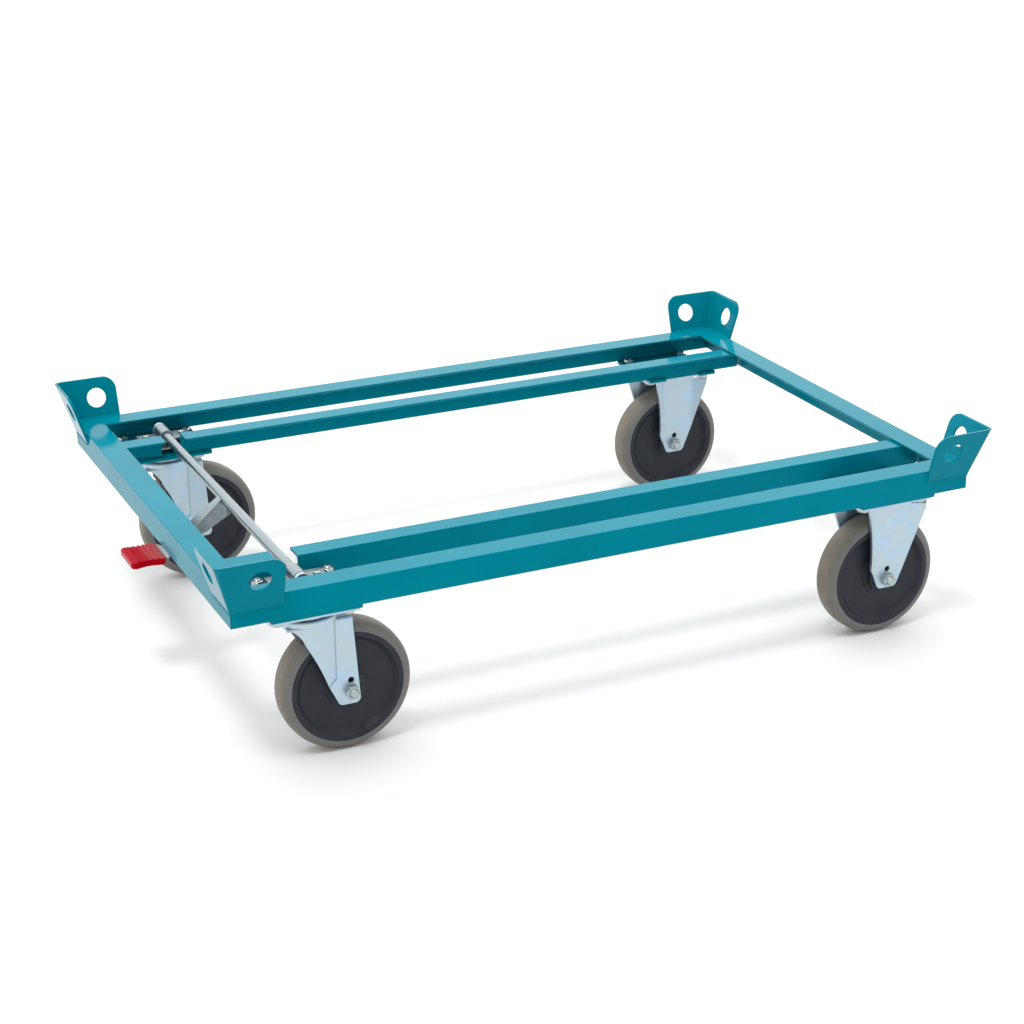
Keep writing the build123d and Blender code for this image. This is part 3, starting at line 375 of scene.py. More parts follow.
def bump(tree, shader, height, strength, depth, edge_radius=0.0):
    """Fine relief of a surface, over edges softened by a radius."""
    node = tree.nodes.new("ShaderNodeBump")
    if edge_radius > 0.0:
        tree.links.new(soft_edges(tree, edge_radius), node.inputs["Normal"])
    node.inputs["Strength"].default_value = strength
    node.inputs["Distance"].default_value = depth
    tree.links.new(height, node.inputs["Height"])
    tree.links.new(node.outputs["Normal"], shader.inputs["Normal"])


def tinted(colour, factor):
    """A colour made lighter or darker."""
    return tuple(min(1.0, channel * factor) for channel in colour)


def two_tones(tree, value, colour, dark, light):
    """A colour that a value from noise makes darker or lighter, by two factors."""
    stops = ((NOISE_LOW, tinted(colour, dark)), (NOISE_HIGH, tinted(colour, light)))
    return ramp(tree, value, stops)


def tint(tree, shader, value, colour, dark, light):
    """Give a surface a colour in two tones."""
    tree.links.new(two_tones(tree, value, colour, dark, light), shader.inputs["Base Color"])


def teal_paint(finishes):
    """Gloss paint with a faint orange peel and slight changes of depth."""
    material, tree, shader = start_material("teal_paint")
    cloud = noise(tree, 9.0, 3.0)
    tint(tree, shader, cloud, finishes.teal, 0.94, 1.06)
    roughen(tree, shader, noise(tree, 60.0), 0.08, 0.14)
    shader.inputs["IOR"].default_value = 1.2
    shader.inputs["Specular Tint"].default_value = (0.0, 0.55, 0.75, 1.0)
    bump(tree, shader, noise(tree, 420.0, 1.0), 0.03, 0.4 * MM, 1.6 * MM)
    return material


def zinc_plate(finishes):
    """Bright zinc: pale metal with a faint blue, straw and lilac bloom."""
    material, tree, shader = start_material("zinc_plate")
    zinc = finishes.zinc
    straw = (zinc[0] * 1.05, zinc[1] * 1.0, zinc[2] * 0.9)
    lilac = (zinc[0] * 1.02, zinc[1] * 0.95, zinc[2] * 1.03)
    blue = (zinc[0] * 0.93, zinc[1] * 1.0, zinc[2] * 1.07)
    bloom = noise(tree, 26.0, 4.0)
    stops = ((0.3, blue), (0.45, tuple(zinc)), (0.58, straw), (0.72, lilac))
    tree.links.new(ramp(tree, bloom, stops), shader.inputs["Base Color"])
    roughen(tree, shader, noise(tree, 90.0, 3.0), 0.3, 0.46)
    shader.inputs["Metallic"].default_value = 0.85
    bump(tree, shader, noise(tree, 700.0, 3.0), 0.06, 0.4 * MM, 0.6 * MM)
    return material


def dull_zinc(finishes):
    """Thin zinc on pressed sheet, grey and a little cloudy."""
    material, tree, shader = start_material("dull_zinc")
    cloud = noise(tree, 70.0, 4.0)
    tint(tree, shader, cloud, finishes.brake, 0.85, 1.1)
    roughen(tree, shader, cloud, 0.24, 0.38)
    shader.inputs["Metallic"].default_value = 0.9
    bump(tree, shader, noise(tree, 700.0, 3.0), 0.06, 0.4 * MM, 0.6 * MM)
    return material


def drawn_zinc(finishes):
    """Zinc on drawn tube, with fine streaks along it."""
    material, tree, shader = start_material("drawn_zinc")
    streaks = noise(tree, 700.0, 3.0, (1.0, 0.03, 1.0))
    tint(tree, shader, streaks, finishes.brake, 0.9, 1.1)
    roughen(tree, shader, streaks, 0.16, 0.28)
    shader.inputs["Metallic"].default_value = 0.95
    bump(tree, shader, streaks, 0.05, 0.3 * MM)
    return material


def zinc_fasteners(finishes):
    """Zinc on bolts and nuts, a little lighter or darker at random over a fine grain."""
    material, tree, shader = start_material("zinc_fasteners")
    grain = noise(tree, 240.0, 4.0)
    tint(tree, shader, grain, finishes.fastener, 0.82, 1.1)
    roughen(tree, shader, grain, 0.16, 0.3)
    shader.inputs["Metallic"].default_value = 0.95
    bump(tree, shader, noise(tree, 1500.0, 2.0), 0.06, 0.3 * MM)
    return material


def bright_steel(finishes):
    """Ground steel of the hidden balls and sleeves."""
    material, tree, shader = start_material("bright_steel")
    grain = noise(tree, 900.0, 2.0, (1.0, 0.2, 1.0))
    tint(tree, shader, grain, finishes.steel, 0.9, 1.05)
    roughen(tree, shader, grain, 0.15, 0.28)
    shader.inputs["Metallic"].default_value = 1.0
    return material


def tyre_rubber(finishes):
    """Warm grey rubber with a fine speckle, browner where the piece's tread attribute is high."""
    material, tree, shader = start_material("tyre_rubber")
    cloud = noise(tree, 30.0, 5.0)
    side = two_tones(tree, cloud, finishes.tyre, 0.92, 1.08)
    used = two_tones(tree, cloud, finishes.tread, 0.85, 1.12)
    tread = tree.nodes.new("ShaderNodeAttribute")
    tread.attribute_name = "tread"
    mix = tree.nodes.new("ShaderNodeMix")
    mix.data_type = "RGBA"
    tree.links.new(tread.outputs["Fac"], mix.inputs["Factor"])
    tree.links.new(side, mix.inputs["A"])
    tree.links.new(used, mix.inputs["B"])
    tree.links.new(mix.outputs["Result"], shader.inputs["Base Color"])
    roughen(tree, shader, noise(tree, 220.0, 4.0), 0.42, 0.58)
    bump(tree, shader, noise(tree, 1100.0, 3.0), 0.1, 0.4 * MM)
    return material


def wheel_plastic(finishes):
    """Dark moulded plastic with a satin skin and faint flow marks."""
    material, tree, shader = start_material("wheel_plastic")
    flow = noise(tree, 40.0, 4.0)
    tint(tree, shader, flow, finishes.wheel, 0.85, 1.15)
    roughen(tree, shader, noise(tree, 160.0, 3.0), 0.36, 0.5)
    shader.inputs["IOR"].default_value = 1.35
    bump(tree, shader, noise(tree, 1400.0, 2.0), 0.06, 0.3 * MM)
    return material


def bearing_bronze(finishes):
    """Sintered bronze of the bushes."""
    material, tree, shader = start_material("bearing_bronze")
    grain = noise(tree, 900.0, 3.0)
    tint(tree, shader, grain, finishes.bush, 0.8, 1.1)
    roughen(tree, shader, grain, 0.35, 0.5)
    shader.inputs["Metallic"].default_value = 0.9
    return material


def shoe_rubber(finishes):
    """Black friction rubber."""
    material, tree, shader = start_material("shoe_rubber")
    grain = noise(tree, 600.0, 4.0)
    tint(tree, shader, grain, finishes.shoe, 0.7, 1.4)
    roughen(tree, shader, grain, 0.6, 0.8)
    bump(tree, shader, grain, 0.15, 0.5 * MM)
    return material


def pedal_red(finishes):
    """Glossy red moulding with faint flow marks."""
    material, tree, shader = start_material("pedal_red")
    flow = noise(tree, 70.0, 3.0)
    tint(tree, shader, flow, finishes.pedal, 0.9, 1.08)
    roughen(tree, shader, noise(tree, 120.0, 3.0), 0.1, 0.18)
    shader.inputs["IOR"].default_value = 1.2
    shader.inputs["Specular Tint"].default_value = (1.0, 0.2, 0.24, 1.0)
    bump(tree, shader, noise(tree, 500.0, 2.0), 0.02, 0.4 * MM, 0.8 * MM)
    return material


FINISHES = {
    "teal_paint": teal_paint,
    "zinc_plate": zinc_plate,
    "dull_zinc": dull_zinc,
    "drawn_zinc": drawn_zinc,
    "zinc_fasteners": zinc_fasteners,
    "bright_steel": bright_steel,
    "tyre_rubber": tyre_rubber,
    "wheel_plastic": wheel_plastic,
    "bearing_bronze": bearing_bronze,
    "shoe_rubber": shoe_rubber,
    "pedal_red": pedal_red,
}


def finish(name):
    """The material of that name, made when it is first needed."""
    made = bpy.data.materials.get(f"{name}_finish")
    return made or FINISHES[name](bpy.context.scene.dolly_finishes)


# Surfaces


def grid_faces(rows, columns, first):
    """Corner numbers of a grid's quads, counted from `first`; each row joins its own start."""
    row, column = np.meshgrid(np.arange(rows - 1), np.arange(columns), indexing="ij")
    next_column = (column + 1) % columns
    corners = (
        row * columns + column,
        (row + 1) * columns + column,
        (row + 1) * columns + next_column,
        row * columns + next_column,
    )
    return first + np.stack(corners, axis=-1).reshape(-1, 4)


def add_piece(name, grids, material, body, tread=None):
    """One piece made of grids of points, with its faces turned outwards.

    Each row of a grid joins its own start. The first and last rows either close to poles or are
    the same row, and points that fall together are merged. The piece is shaded smooth except at
    sharp turns. `tread` is a value for each point that the rubber's finish reads."""
    points = np.concatenate([grid.reshape(-1, 3) for grid in grids])
    starts = np.cumsum([0] + [grid.shape[0] * grid.shape[1] for grid in grids])
    faces = np.concatenate(
        [grid_faces(grid.shape[0], grid.shape[1], first) for grid, first in zip(grids, starts)]
    )
    corners = points[faces]
    volume = np.einsum("ij,ij->", corners[:, 0], np.cross(corners[:, 1], corners[:, 2]))
    volume += np.einsum("ij,ij->", corners[:, 0], np.cross(corners[:, 2], corners[:, 3]))
    if volume < 0.0:
        faces = faces[:, ::-1]
    mesh = bpy.data.meshes.new(name)
    mesh.from_pydata(points, [], faces)
    if tread is not None:
        mesh.attributes.new("tread", "FLOAT", "POINT").data.foreach_set("value", tread)
    shape = bmesh.new()
    shape.from_mesh(mesh)
    bmesh.ops.remove_doubles(shape, verts=shape.verts, dist=MERGE)
    shape.to_mesh(mesh)
    shape.free()
    mesh.shade_smooth()
    mesh.set_sharp_from_angle(angle=CREASE)
    mesh.materials.append(finish(material))
    piece = bpy.data.objects.new(name, mesh)
    bpy.context.scene.collection.objects.link(piece)
    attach(piece, body)
    return piece


def rounded(corners, steps=8, run=4):
    """Closed outline through (x, y, radius) corners, each an arc that touches both its sides.

    An arc of radius r at a corner that turns by t starts r tan(t / 2) before it. It gets `steps`
    points, and each straight run gets `run` points."""
    corners = np.asarray(corners, dtype=float)
    place = corners[:, :2]
    ahead = np.roll(place, -1, axis=0) - place
    ahead /= np.linalg.norm(ahead, axis=1)[:, None]
    behind = np.roll(ahead, 1, axis=0)
    cross = behind[:, 0] * ahead[:, 1] - behind[:, 1] * ahead[:, 0]
    turn = np.arctan2(cross, (behind * ahead).sum(axis=1))
    cut = corners[:, 2] * np.tan(np.abs(turn) / 2)
    start = place - behind * cut[:, None]
    end = place + ahead * cut[:, None]
    share = np.linspace(0.0, 1.0, steps)
    angle = turn[:, None] * share[None, :]
    side = np.sign(turn)[:, None] * np.stack([-behind[:, 1], behind[:, 0]], axis=-1)
    centre = start + side * corners[:, 2:3]
    arm = start - centre
    arcs = np.stack(
        [
            centre[:, None, 0] + arm[:, None, 0] * np.cos(angle) - arm[:, None, 1] * np.sin(angle),
            centre[:, None, 1] + arm[:, None, 0] * np.sin(angle) + arm[:, None, 1] * np.cos(angle),
        ],
        axis=-1,
    )
    along = np.linspace(0.0, 1.0, run + 2)[1:-1]
    next_start = np.roll(start, -1, axis=0)
    runs = end[:, None, :] + (next_start - end)[:, None, :] * along[None, :, None]
    return np.concatenate([arcs, runs], axis=1).reshape(-1, 2)


def turned(profile, centre, segments):
    """Surface of revolution about Y: (radius, offset) points carried once round the centre.

    At angle a, (r, s) lies at (r cos a, s, r sin a) from the centre."""
    angle = np.linspace(0.0, 2.0 * math.pi, segments + 1)[:, None]
    radius = profile[None, :, 0]
    offset = np.broadcast_to(profile[None, :, 1], (segments + 1, len(profile)))
    return np.stack(
        [
            centre[0] + radius * np.cos(angle),
            centre[1] + offset,
            centre[2] + radius * np.sin(angle),
        ],
        axis=-1,
    )


def both_sides(half):
    """A closed outline from its half at offset > 0 and the mirror image of that half."""
    half = np.asarray(half, dtype=float)
    return np.concatenate([half, half[::-1] * (1.0, -1.0, 1.0)])


def walk(points, step):
    """Points every `step` along a chain of straight runs, and their distance from its start."""
    points = np.asarray(points, dtype=float)
    reach = np.concatenate([[0.0], np.cumsum(np.linalg.norm(np.diff(points, axis=0), axis=1))])
    along = np.linspace(0.0, reach[-1], max(SHORT_BEAD_STEPS, int(reach[-1] / step)))
    path = np.stack([np.interp(along, reach, points[:, axis]) for axis in range(3)], axis=-1)
    return path, along


def bead(points, facing, radius, ripple):
    """A weld bead: a ring carried along a path, swelling once each ripple and closed at both ends.

    At distance s its radius is radius (1 - k + k |sin(pi s / ripple)|) sqrt(1 - e^2), where k is
    the swelling share and e runs from 0 to 1 over the last two radii of either end."""
    path, along = walk(points, ripple / RIPPLE_STEPS)
    swell = 1.0 - SWELL + SWELL * np.abs(np.sin(math.pi * along / ripple))
    to_end = np.minimum(along, along[-1] - along)
    inset = 1.0 - np.clip(to_end / (2.0 * radius), 0.0, 1.0)
    size = radius * swell * np.sqrt(np.clip(1.0 - inset**2, 0.0, 1.0))
    forward = np.gradient(path, axis=0)
    forward /= np.linalg.norm(forward, axis=1)[:, None]
    out = np.asarray(facing, dtype=float)
    out = out / np.linalg.norm(out)
    across = np.cross(forward, out)
    angle = np.linspace(0.0, 2.0 * math.pi, BEAD_STEPS, endpoint=False)[None, :, None]
    ring = out * np.cos(angle) + across[:, None, :] * np.sin(angle)
    return path[:, None, :] + size[:, None, None] * ring


def round_axis(base, axis, turn, height, radius):
    """Points at heights along an axis and radii from it, one row for each height.

    With u and v across the axis n, a point is base + h n + r (u cos a + v sin a), and a goes all
    round from `turn`."""
    radius = np.broadcast_to(radius, (len(height), FLATS * FLAT_STEPS))
    angle = turn + np.linspace(0.0, 2.0 * math.pi, radius.shape[1], endpoint=False)[None, :, None]
    axis = np.asarray(axis, dtype=float)
    side = np.roll(axis, 1)
    ring = side * np.cos(angle) + np.cross(axis, side) * np.sin(angle)
    return np.asarray(base) + np.asarray(height)[:, None, None] * axis + radius[..., None] * ring


def hexagon(width):
    """Radii round a hexagon: half its width over the cosine of the angle from the nearest flat."""
    share = np.arange(FLATS * FLAT_STEPS) / FLAT_STEPS % 1.0
    return width / 2 / np.cos((share - 0.5) * 2.0 * math.pi / FLATS)


def bevelled_rim(width):
    """Heights and radii of a hexagon's bevelled rim, from its flat face down.

    The radius is the lesser of the hexagon's and that of a cone round the flat face."""
    depth = np.linspace(0.0, RIM_DEPTH * width, RIM_STEPS)
    cone = RIM_START * width + depth[:, None] / math.tan(RIM_SLOPE)
    return depth, np.minimum(hexagon(width)[None, :], cone)


def bolt(base, axis, turn, width, head, radius, length, pitch, threaded):
    """A hexagon bolt, from its head's middle to its tip's; its shank starts at the base.

    Over the threaded stretch, with u the height in pitches less the share of a turn, the radius
    is full where u is whole and less by the groove's depth half way between. The tip has a bevel
    half a pitch high."""
    columns = FLATS * FLAT_STEPS
    depth, rim = bevelled_rim(width)
    height = np.linspace(length - threaded, length, int(THREAD_STEPS * threaded / pitch))
    turns = height[:, None] / pitch - np.arange(columns) / columns
    groove = 2.0 * np.abs(turns - np.round(turns))
    tip = radius - pitch / 2 + (length - height)[:, None]
    thread = np.minimum(radius - THREAD_DEPTH * pitch * groove, tip)
    shank = np.full((2, columns), radius)
    pole = np.zeros((1, columns))
    plain = [0.0, 0.0, length - threaded]
    heights = np.concatenate([[-head], depth - head, plain, height, [length]])
    radii = np.concatenate([pole, rim, hexagon(width)[None, :], shank, thread, pole])
    return round_axis(base, axis, turn, heights, radii)


def nut(base, axis, turn, width, height, bore):
    """A hexagon nut that stands on the base, with its rims and both ends of its bore bevelled."""
    depth, rim = bevelled_rim(width)
    flare = RIM_DEPTH * width
    inside = np.full((2, FLATS * FLAT_STEPS), bore)
    mouth = inside[:1] + flare
    bore_heights = [height, height - flare, flare, 0.0, 0.0]
    heights = np.concatenate([depth, (height - depth)[::-1], bore_heights])
    radii = np.concatenate([rim, rim[::-1], mouth, inside, mouth, rim[:1]])
    return round_axis(base, axis, turn, heights, radii)


# Operators


class DOLLY_OT_paint(bpy.types.Operator):
    """Give each solid piece the finish of its material slot, or the brake's own duller zinc"""

    bl_idname = "dolly.paint"
    bl_label = "Paint solid pieces"

    def execute(self, context):
        for subpart in frame["record"]["subparts"]:
            node = frame["nodes"][subpart["node"]]
            name = OTHER_FINISHES.get(subpart["node"], subpart["material_slot"])
            node.data.materials.clear()
            node.data.materials.append(finish(name))
        return {"FINISHED"}


class DOLLY_OT_tyres(bpy.types.Operator):
    """Model the four tyres with round shoulders, a crowned tread and a mould line"""

    bl_idname = "dolly.tyres"
    bl_label = "Model tyres"

    def execute(self, context):
        wheels = context.scene.dolly_wheels
        for place in WHEELS:
            node = f"tyre_{place}"
            low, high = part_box(node)
            radius = (high.x - low.x) / 2
            side = (high.y - low.y) / 2
            seat = box_radius(f"wheel_centre_{place}")
            groove = side - wheels.lip_width
            half = (
                (seat - wheels.lip_depth, groove, GROOVE_EDGE),
                (seat, groove, GROOVE_EDGE),
                (seat, side, TYRE_EDGE),
                (radius, side, wheels.shoulder),
            )
            profile = rounded(both_sides(half), steps=16, run=24)
            tread_edge = side - wheels.shoulder
            fall = wheels.crown * np.clip(profile[:, 1] / tread_edge, -1.0, 1.0) ** 2
            seam = wheels.mould_line * (1.0 - np.exp(-((profile[:, 1] / SEAM_REACH) ** 2)))
            rise = wheels.shoulder / 2
            tread = np.clip((profile[:, 0] - radius + rise) / rise, 0.0, 1.0)
            profile[:, 0] -= (fall + seam) * tread
            grid = turned(profile, middle(node), wheels.segments)
            tread = np.tile(tread, wheels.segments + 1)
            body = f"wheel_{place}"
            piece = add_piece(f"rubber_{place}", [grid], "tyre_rubber", body, tread=tread)
            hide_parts(node)
        return {"FINISHED"}


class DOLLY_OT_wheel_centres(bpy.types.Operator):
    """Model the four moulded wheel centres with their rim ring, cone, web and stepped hub"""

    bl_idname = "dolly.wheel_centres"
    bl_label = "Model wheel centres"

    def execute(self, context):
        wheels = context.scene.dolly_wheels
        for place in WHEELS:
            node = f"wheel_centre_{place}"
            low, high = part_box(node)
            rim = box_radius(node)
            hub_face = (high.y - low.y) / 2
            tyre_low, tyre_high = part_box(f"tyre_{place}")
            side = (tyre_high.y - tyre_low.y) / 2
            web = side - wheels.recess
            groove = side - wheels.lip_width
            ring = rim - wheels.ring_width
            step = wheels.hub_radius + wheels.hub_ring_width
            half = (
                (wheels.bore, hub_face, BORE_EDGE),
                (wheels.hub_radius, hub_face, HUB_EDGE),
                (wheels.hub_radius, web + wheels.hub_ring_height, HUB_ROOT),
                (step, web + wheels.hub_ring_height, STEP_EDGE),
                (step, web, STEP_ROOT),
                (ring - wheels.cone_width, web, CONE_ROOT),
                (ring, side, RING_EDGE),
                (rim, side, RIM_EDGE),
                (rim, groove, GROOVE_EDGE),
                (rim - wheels.lip_depth, groove, GROOVE_EDGE),
            )
            profile = rounded(both_sides(half), steps=7, run=3)
            grid = turned(profile, middle(node), wheels.segments)
            body = f"wheel_{place}"
            piece = add_piece(f"moulded_centre_{place}", [grid], "wheel_plastic", body)
            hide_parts(node)
        return {"FINISHED"}


class DOLLY_OT_welds(bpy.types.Operator):
    """Lay the weld beads round the brackets' feet, behind their legs and on the mount plates"""

    bl_idname = "dolly.welds"
    bl_label = "Lay weld beads"

    def execute(self, context):
        welds = context.scene.dolly_welds
        low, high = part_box("front_rail")
        corner = np.array([high.x, -low.y, high.z])
        foot_beads = []
        crease_beads = []
        for along in (-1.0, 1.0):
            for across in (-1.0, 1.0):
                signs = np.array([along, across, 1.0])
                for axis in (0, 1):
                    foot_beads.append(self.foot_bead(welds, corner, signs, axis))
                    crease_beads.append(self.crease_bead(welds, corner, signs, axis))
        add_piece("bracket_foot_welds", foot_beads, "teal_paint", "frame")
        add_piece("bracket_crease_welds", crease_beads, "teal_paint", "frame")
        plate_beads = []
        for place in WHEELS:
            plate_beads += self.plate_beads(welds, place)
        add_piece("mount_plate_welds", plate_beads, "teal_paint", "frame")
        return {"FINISHED"}

    def leg_point(self, corner, signs, axis, along, out, up):
        """A point by a bracket's leg: along from the corner, out from the rail, up from its top."""
        point = np.array(corner)
        point[axis] -= along
        point[1 - axis] += out
        point[2] += up
        return point * signs

    def foot_bead(self, welds, corner, signs, axis):
        """The bead along a foot's lower edge, round its corner and up its end."""
        turn = np.radians(np.linspace(-90.0, 0.0, FOOT_CORNER_STEPS))
        middle_along = welds.reach - welds.foot_corner
        middle_up = welds.foot_corner - welds.foot_drop
        path = [self.leg_point(corner, signs, axis, FOOT_BEAD_START, 0.0, -welds.foot_drop)]
        path += [
            self.leg_point(
                corner,
                signs,
                axis,
                middle_along + welds.foot_corner * math.cos(angle),
                0.0,
                middle_up + welds.foot_corner * math.sin(angle),
            )
            for angle in turn
        ]
        path.append(self.leg_point(corner, signs, axis, welds.reach, 0.0, -FOOT_BEAD_END))
        facing = np.zeros(3)
        facing[1 - axis] = signs[1 - axis]
        return bead(path, facing, welds.foot_bead, welds.ripple)

    def crease_bead(self, welds, corner, signs, axis):
        """The bead in the crease between the rail's top and a bracket's leg."""
        path = [
            self.leg_point(corner, signs, axis, along, CREASE_BEAD_OUT, -CREASE_BEAD_SINK)
            for along in (CREASE_BEAD_END, welds.reach - CREASE_BEAD_END)
        ]
        return bead(path, (0.0, 0.0, 1.0), welds.crease_bead, welds.ripple)

    def plate_beads(self, welds, place):
        """The beads along the inner rail's foot on a mount plate, one near each end of it."""
        side = place.split("_")[0]
        low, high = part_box(f"mount_plate_{place}")
        rail_low, rail_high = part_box(f"{side}_inner_rail")
        inward = 1.0 if side == "front" else -1.0
        face_y = (rail_low.y if inward > 0.0 else rail_high.y) + inward * RAIL_WALL
        beads = []
        for start in (
            low.x + PLATE_BEAD_MARGIN,
            high.x - PLATE_BEAD_MARGIN - PLATE_BEAD_LENGTH,
        ):
            path = [(start, face_y, high.z), (start + PLATE_BEAD_LENGTH, face_y, high.z)]
            beads.append(bead(path, (0.0, inward, 1.0), welds.plate_bead, welds.ripple))
        return beads


class DOLLY_OT_fasteners(bpy.types.Operator):
    """Model the bolts, screws and nuts with bevelled hexagons and threads"""

    bl_idname = "dolly.fasteners"
    bl_label = "Model fasteners"

    def execute(self, context):
        sizes = context.scene.dolly_fasteners
        self.castor_fasteners(sizes)
        self.clip_screws(sizes)
        for side in SIDES:
            node = f"swivel_axle_bolt_{side}"
            low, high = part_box(node)
            grids = self.axle(sizes, middle(node), low.y, high.y)
            piece = add_piece(f"axle_bolt_{side}", grids, "zinc_fasteners", f"swivel_{side}")
            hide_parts(node)
        low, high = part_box("fixed_axle_bolts")
        centre = middle("fixed_axle_bolts")
        front = middle("fixed_fork_front").y - low.y
        back = high.y - middle("fixed_fork_rear").y
        grids = []
        for side in SIDES:
            y = middle(f"fixed_fork_{side}").y
            grids += self.axle(sizes, centre, y - front, y + back)
        piece = add_piece("fixed_axle_bolt_set", grids, "zinc_fasteners", "frame")
        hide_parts("fixed_axle_bolts")
        return {"FINISHED"}

    def axle(self, sizes, centre, front_y, back_y):
        """An axle bolt with its head at the back, and the nut at its front end."""
        head_y = back_y - sizes.axle_head
        nut_y = front_y + sizes.axle_tip + sizes.axle_nut
        forward = (0.0, -1.0, 0.0)
        shaft = bolt(
            (centre.x, head_y, centre.z),
            forward,
            AXLE_TURN,
            sizes.axle_width,
            sizes.axle_head,
            sizes.axle_radius,
            head_y - front_y,
            sizes.axle_pitch,
            sizes.axle_tip + sizes.axle_nut,
        )
        end = (centre.x, nut_y, centre.z)
        bore = sizes.axle_radius + NUT_PLAY
        end_nut = nut(end, forward, AXLE_NUT_TURN, sizes.axle_width, sizes.axle_nut, bore)
        return [shaft, end_nut]

    def castor_fasteners(self, sizes):
        """Four bolts and nuts to a castor; the swivel ones' inner bolts carry a second nut."""
        up = (0.0, 0.0, 1.0)
        bolts = []
        nuts = []
        for place in WHEELS:
            side, end = place.split("_")
            swivels = end == "left"
            plate_low, plate_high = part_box(
                f"swivel_plate_{side}" if swivels else f"fixed_fork_{side}"
            )
            mount_low, mount_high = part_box(f"mount_plate_{place}")
            under_z = mount_low.z - (sizes.swivel_plate if swivels else sizes.fixed_plate)
            strap_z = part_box(f"bearing_bracket_{side}")[0].z + sizes.strap
            for x in (plate_low.x + sizes.castor_inset, plate_high.x - sizes.castor_inset):
                for y in (plate_low.y + sizes.castor_inset, plate_high.y - sizes.castor_inset):
                    carries_strap = swivels and abs(y) < abs(plate_low.y + plate_high.y) / 2
                    tip_z = mount_high.z + sizes.castor_nut + sizes.castor_tip
                    nut_bases = [mount_high.z]
                    if carries_strap:
                        tip_z = strap_z + sizes.castor_nut + sizes.long_tip
                        nut_bases.append(strap_z)
                    turn = BOLT_TURN * len(bolts)
                    bolts.append(
                        bolt(
                            (x, y, under_z),
                            up,
                            turn,
                            sizes.castor_width,
                            sizes.castor_head,
                            sizes.castor_radius,
                            tip_z - under_z,
                            sizes.castor_pitch,
                            tip_z - nut_bases[-1],
                        )
                    )
                    for base_z in nut_bases:
                        bore = sizes.castor_radius + NUT_PLAY
                        base = (x, y, base_z)
                        turn = NUT_TURN * len(nuts)
                        nuts.append(
                            nut(base, up, turn, sizes.castor_width, sizes.castor_nut, bore)
                        )
        piece = add_piece("castor_bolt_set", bolts, "zinc_fasteners", "frame")
        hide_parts("castor_bolts")
        piece = add_piece("castor_nut_set", nuts, "zinc_fasteners", "frame")
        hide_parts("castor_nuts")

    def clip_screws(self, sizes):
        """Two screws to a bearing clip, heads up, with their nuts below."""
        low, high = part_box("clip_screws")
        down = (0.0, 0.0, -1.0)
        head_z = high.z - sizes.clip_head
        nut_z = low.z + sizes.clip_tip + sizes.clip_nut
        half_corner = sizes.clip_width / math.sqrt(3.0)
        half_flat = sizes.clip_width / 2
        grids = []
        for x in (low.x + half_corner, high.x - half_corner):
            for y in (low.y + half_flat, high.y - half_flat):
                turn = SCREW_TURN * len(grids)
                grids.append(
                    bolt(
                        (x, y, head_z),
                        down,
                        turn,
                        sizes.clip_width,
                        sizes.clip_head,
                        sizes.clip_radius,
                        head_z - low.z,
                        sizes.clip_pitch,
                        sizes.clip_nut + sizes.clip_tip,
                    )
                )
                base = (x, y, nut_z)
                turn += CLIP_NUT_TURN
                bore = sizes.clip_radius + NUT_PLAY
                grids.append(nut(base, down, turn, sizes.clip_width, sizes.clip_nut, bore))
        piece = add_piece("clip_screw_set", grids, "zinc_fasteners", "frame")
        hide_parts("clip_screws")


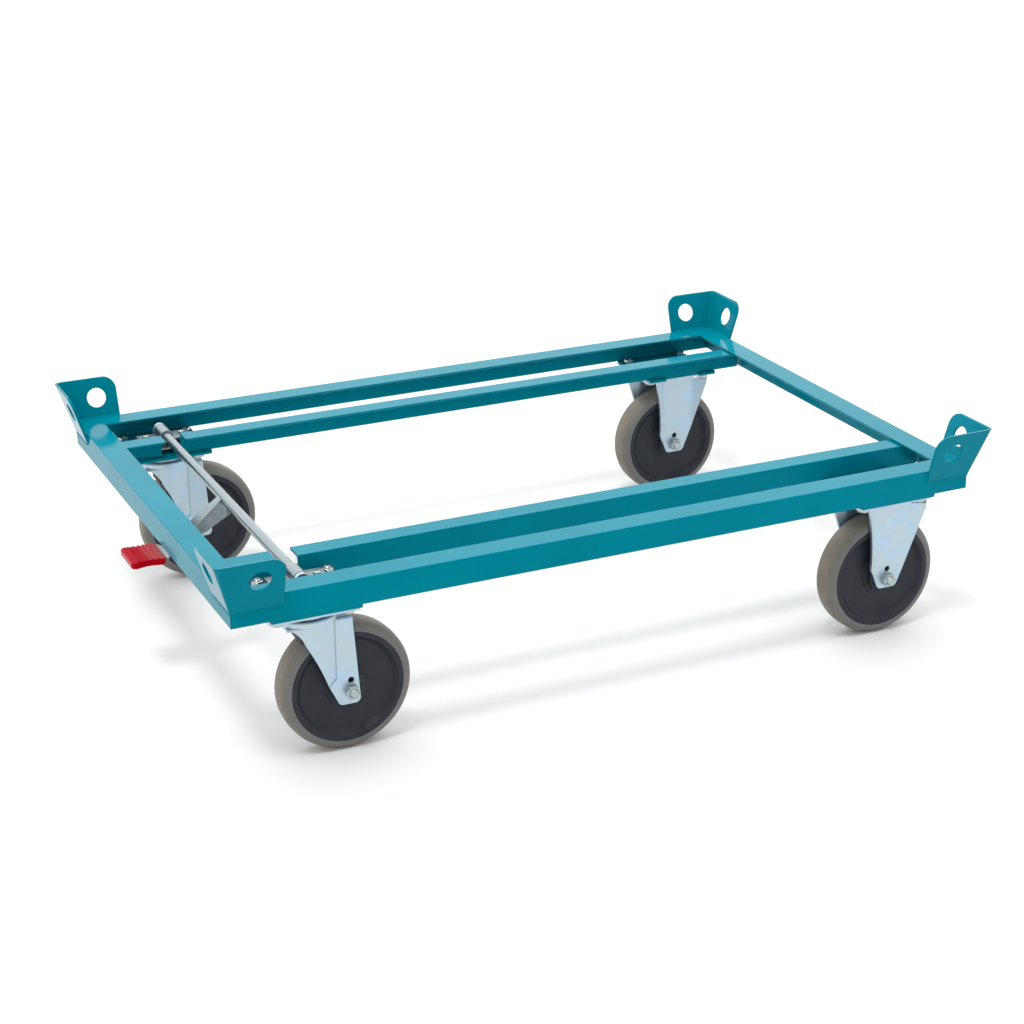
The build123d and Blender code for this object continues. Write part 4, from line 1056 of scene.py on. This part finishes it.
class DOLLY_OT_stage(bpy.types.Operator):
    """Set up the floor, the lights and the camera"""

    bl_idname = "dolly.stage"
    bl_label = "Set the stage"

    def execute(self, context):
        stage = context.scene.dolly_stage
        scene = context.scene
        scene.view_settings.view_transform = "Standard"
        self.floor(stage)
        self.room(scene, stage)
        self.overhead(scene, stage)
        data = bpy.data.cameras.new("camera")
        data.lens = stage.lens
        data.clip_end = CAMERA_REACH
        camera = bpy.data.objects.new("camera", data)
        camera.location = stage.camera_place
        camera.rotation_euler = stage.camera_turn
        scene.collection.objects.link(camera)
        scene.camera = camera
        return {"FINISHED"}

    def floor(self, stage):
        """A wide pale sheet at the height that the wheels stand on."""
        sides = ((-1.0, -1.0), (1.0, -1.0), (1.0, 1.0), (-1.0, 1.0))
        corners = [(x * FLOOR_REACH, y * FLOOR_REACH, 0.0) for x, y in sides]
        mesh = bpy.data.meshes.new("floor")
        mesh.from_pydata(corners, [], [(0, 1, 2, 3)])
        material, tree, shader = start_material("floor_sheet")
        tint(tree, shader, noise(tree, 1.5, 2.0), stage.floor, 0.995, 1.005)
        shader.inputs["Roughness"].default_value = 0.7
        shader.inputs["Specular IOR Level"].default_value = 0.2
        mesh.materials.append(material)
        floor = bpy.data.objects.new("floor", mesh)
        bpy.context.scene.collection.objects.link(floor)

    def room(self, scene, stage):
        """White light all round: the sweep behind, the dimmer room in front, the ceiling above."""
        world = bpy.data.worlds.new("room")
        world.use_nodes = True
        tree = world.node_tree
        background = tree.nodes["Background"]
        place = tree.nodes.new("ShaderNodeTexCoord")
        direction = tree.nodes.new("ShaderNodeSeparateXYZ")
        tree.links.new(place.outputs["Generated"], direction.inputs["Vector"])
        side, height = direction.outputs["Y"], direction.outputs["Z"]
        walls = change(tree, side, *WALLS, stage.front_light, stage.back_light)
        ceiling = change(tree, height, *CEILING, 0.0, stage.top_light)
        total = tree.nodes.new("ShaderNodeMath")
        tree.links.new(walls, total.inputs[0])
        tree.links.new(ceiling, total.inputs[1])
        tree.links.new(total.outputs["Value"], background.inputs["Strength"])
        background.inputs["Color"].default_value = (1.0, 1.0, 1.0, 1.0)
        scene.world = world

    def overhead(self, scene, stage):
        """The lamp that draws the frame's soft shadow on the floor."""
        data = bpy.data.lights.new("lamp", "SUN")
        data.energy = stage.lamp
        data.angle = stage.lamp_spread
        lamp = bpy.data.objects.new("lamp", data)
        lamp.rotation_euler = stage.lamp_turn
        scene.collection.objects.link(lamp)


class DOLLY_PT_panel(bpy.types.Panel):
    """The dolly's operators, in the order they run"""

    bl_idname = "DOLLY_PT_panel"
    bl_label = "Pallet dolly"
    bl_space_type = "VIEW_3D"
    bl_region_type = "UI"
    bl_category = "Dolly"

    def draw(self, context):
        for operator in OPERATORS:
            self.layout.operator(operator.bl_idname)


GROUPS = {
    "dolly_finishes": DollyFinishes,
    "dolly_wheels": DollyWheels,
    "dolly_welds": DollyWelds,
    "dolly_fasteners": DollyFasteners,
    "dolly_stage": DollyStage,
}
OPERATORS = (
    DOLLY_OT_paint,
    DOLLY_OT_tyres,
    DOLLY_OT_wheel_centres,
    DOLLY_OT_welds,
    DOLLY_OT_fasteners,
    DOLLY_OT_stage,
)


def register():
    """Register the classes and give the scene its settings."""
    for group in GROUPS.values():
        bpy.utils.register_class(group)
    for name, group in GROUPS.items():
        setattr(bpy.types.Scene, name, PointerProperty(type=group))
    for operator in OPERATORS:
        bpy.utils.register_class(operator)
    bpy.utils.register_class(DOLLY_PT_panel)


def unregister():
    """Remove the settings and the classes."""
    bpy.utils.unregister_class(DOLLY_PT_panel)
    for operator in reversed(OPERATORS):
        bpy.utils.unregister_class(operator)
    for name, group in reversed(GROUPS.items()):
        delattr(bpy.types.Scene, name)
        bpy.utils.unregister_class(group)


def main():
    """Build the looks in order."""
    register()
    bpy.ops.dolly.paint()
    bpy.ops.dolly.tyres()
    bpy.ops.dolly.wheel_centres()
    bpy.ops.dolly.welds()
    bpy.ops.dolly.fasteners()
    bpy.ops.dolly.stage()


if __name__ == "__main__":
    main()
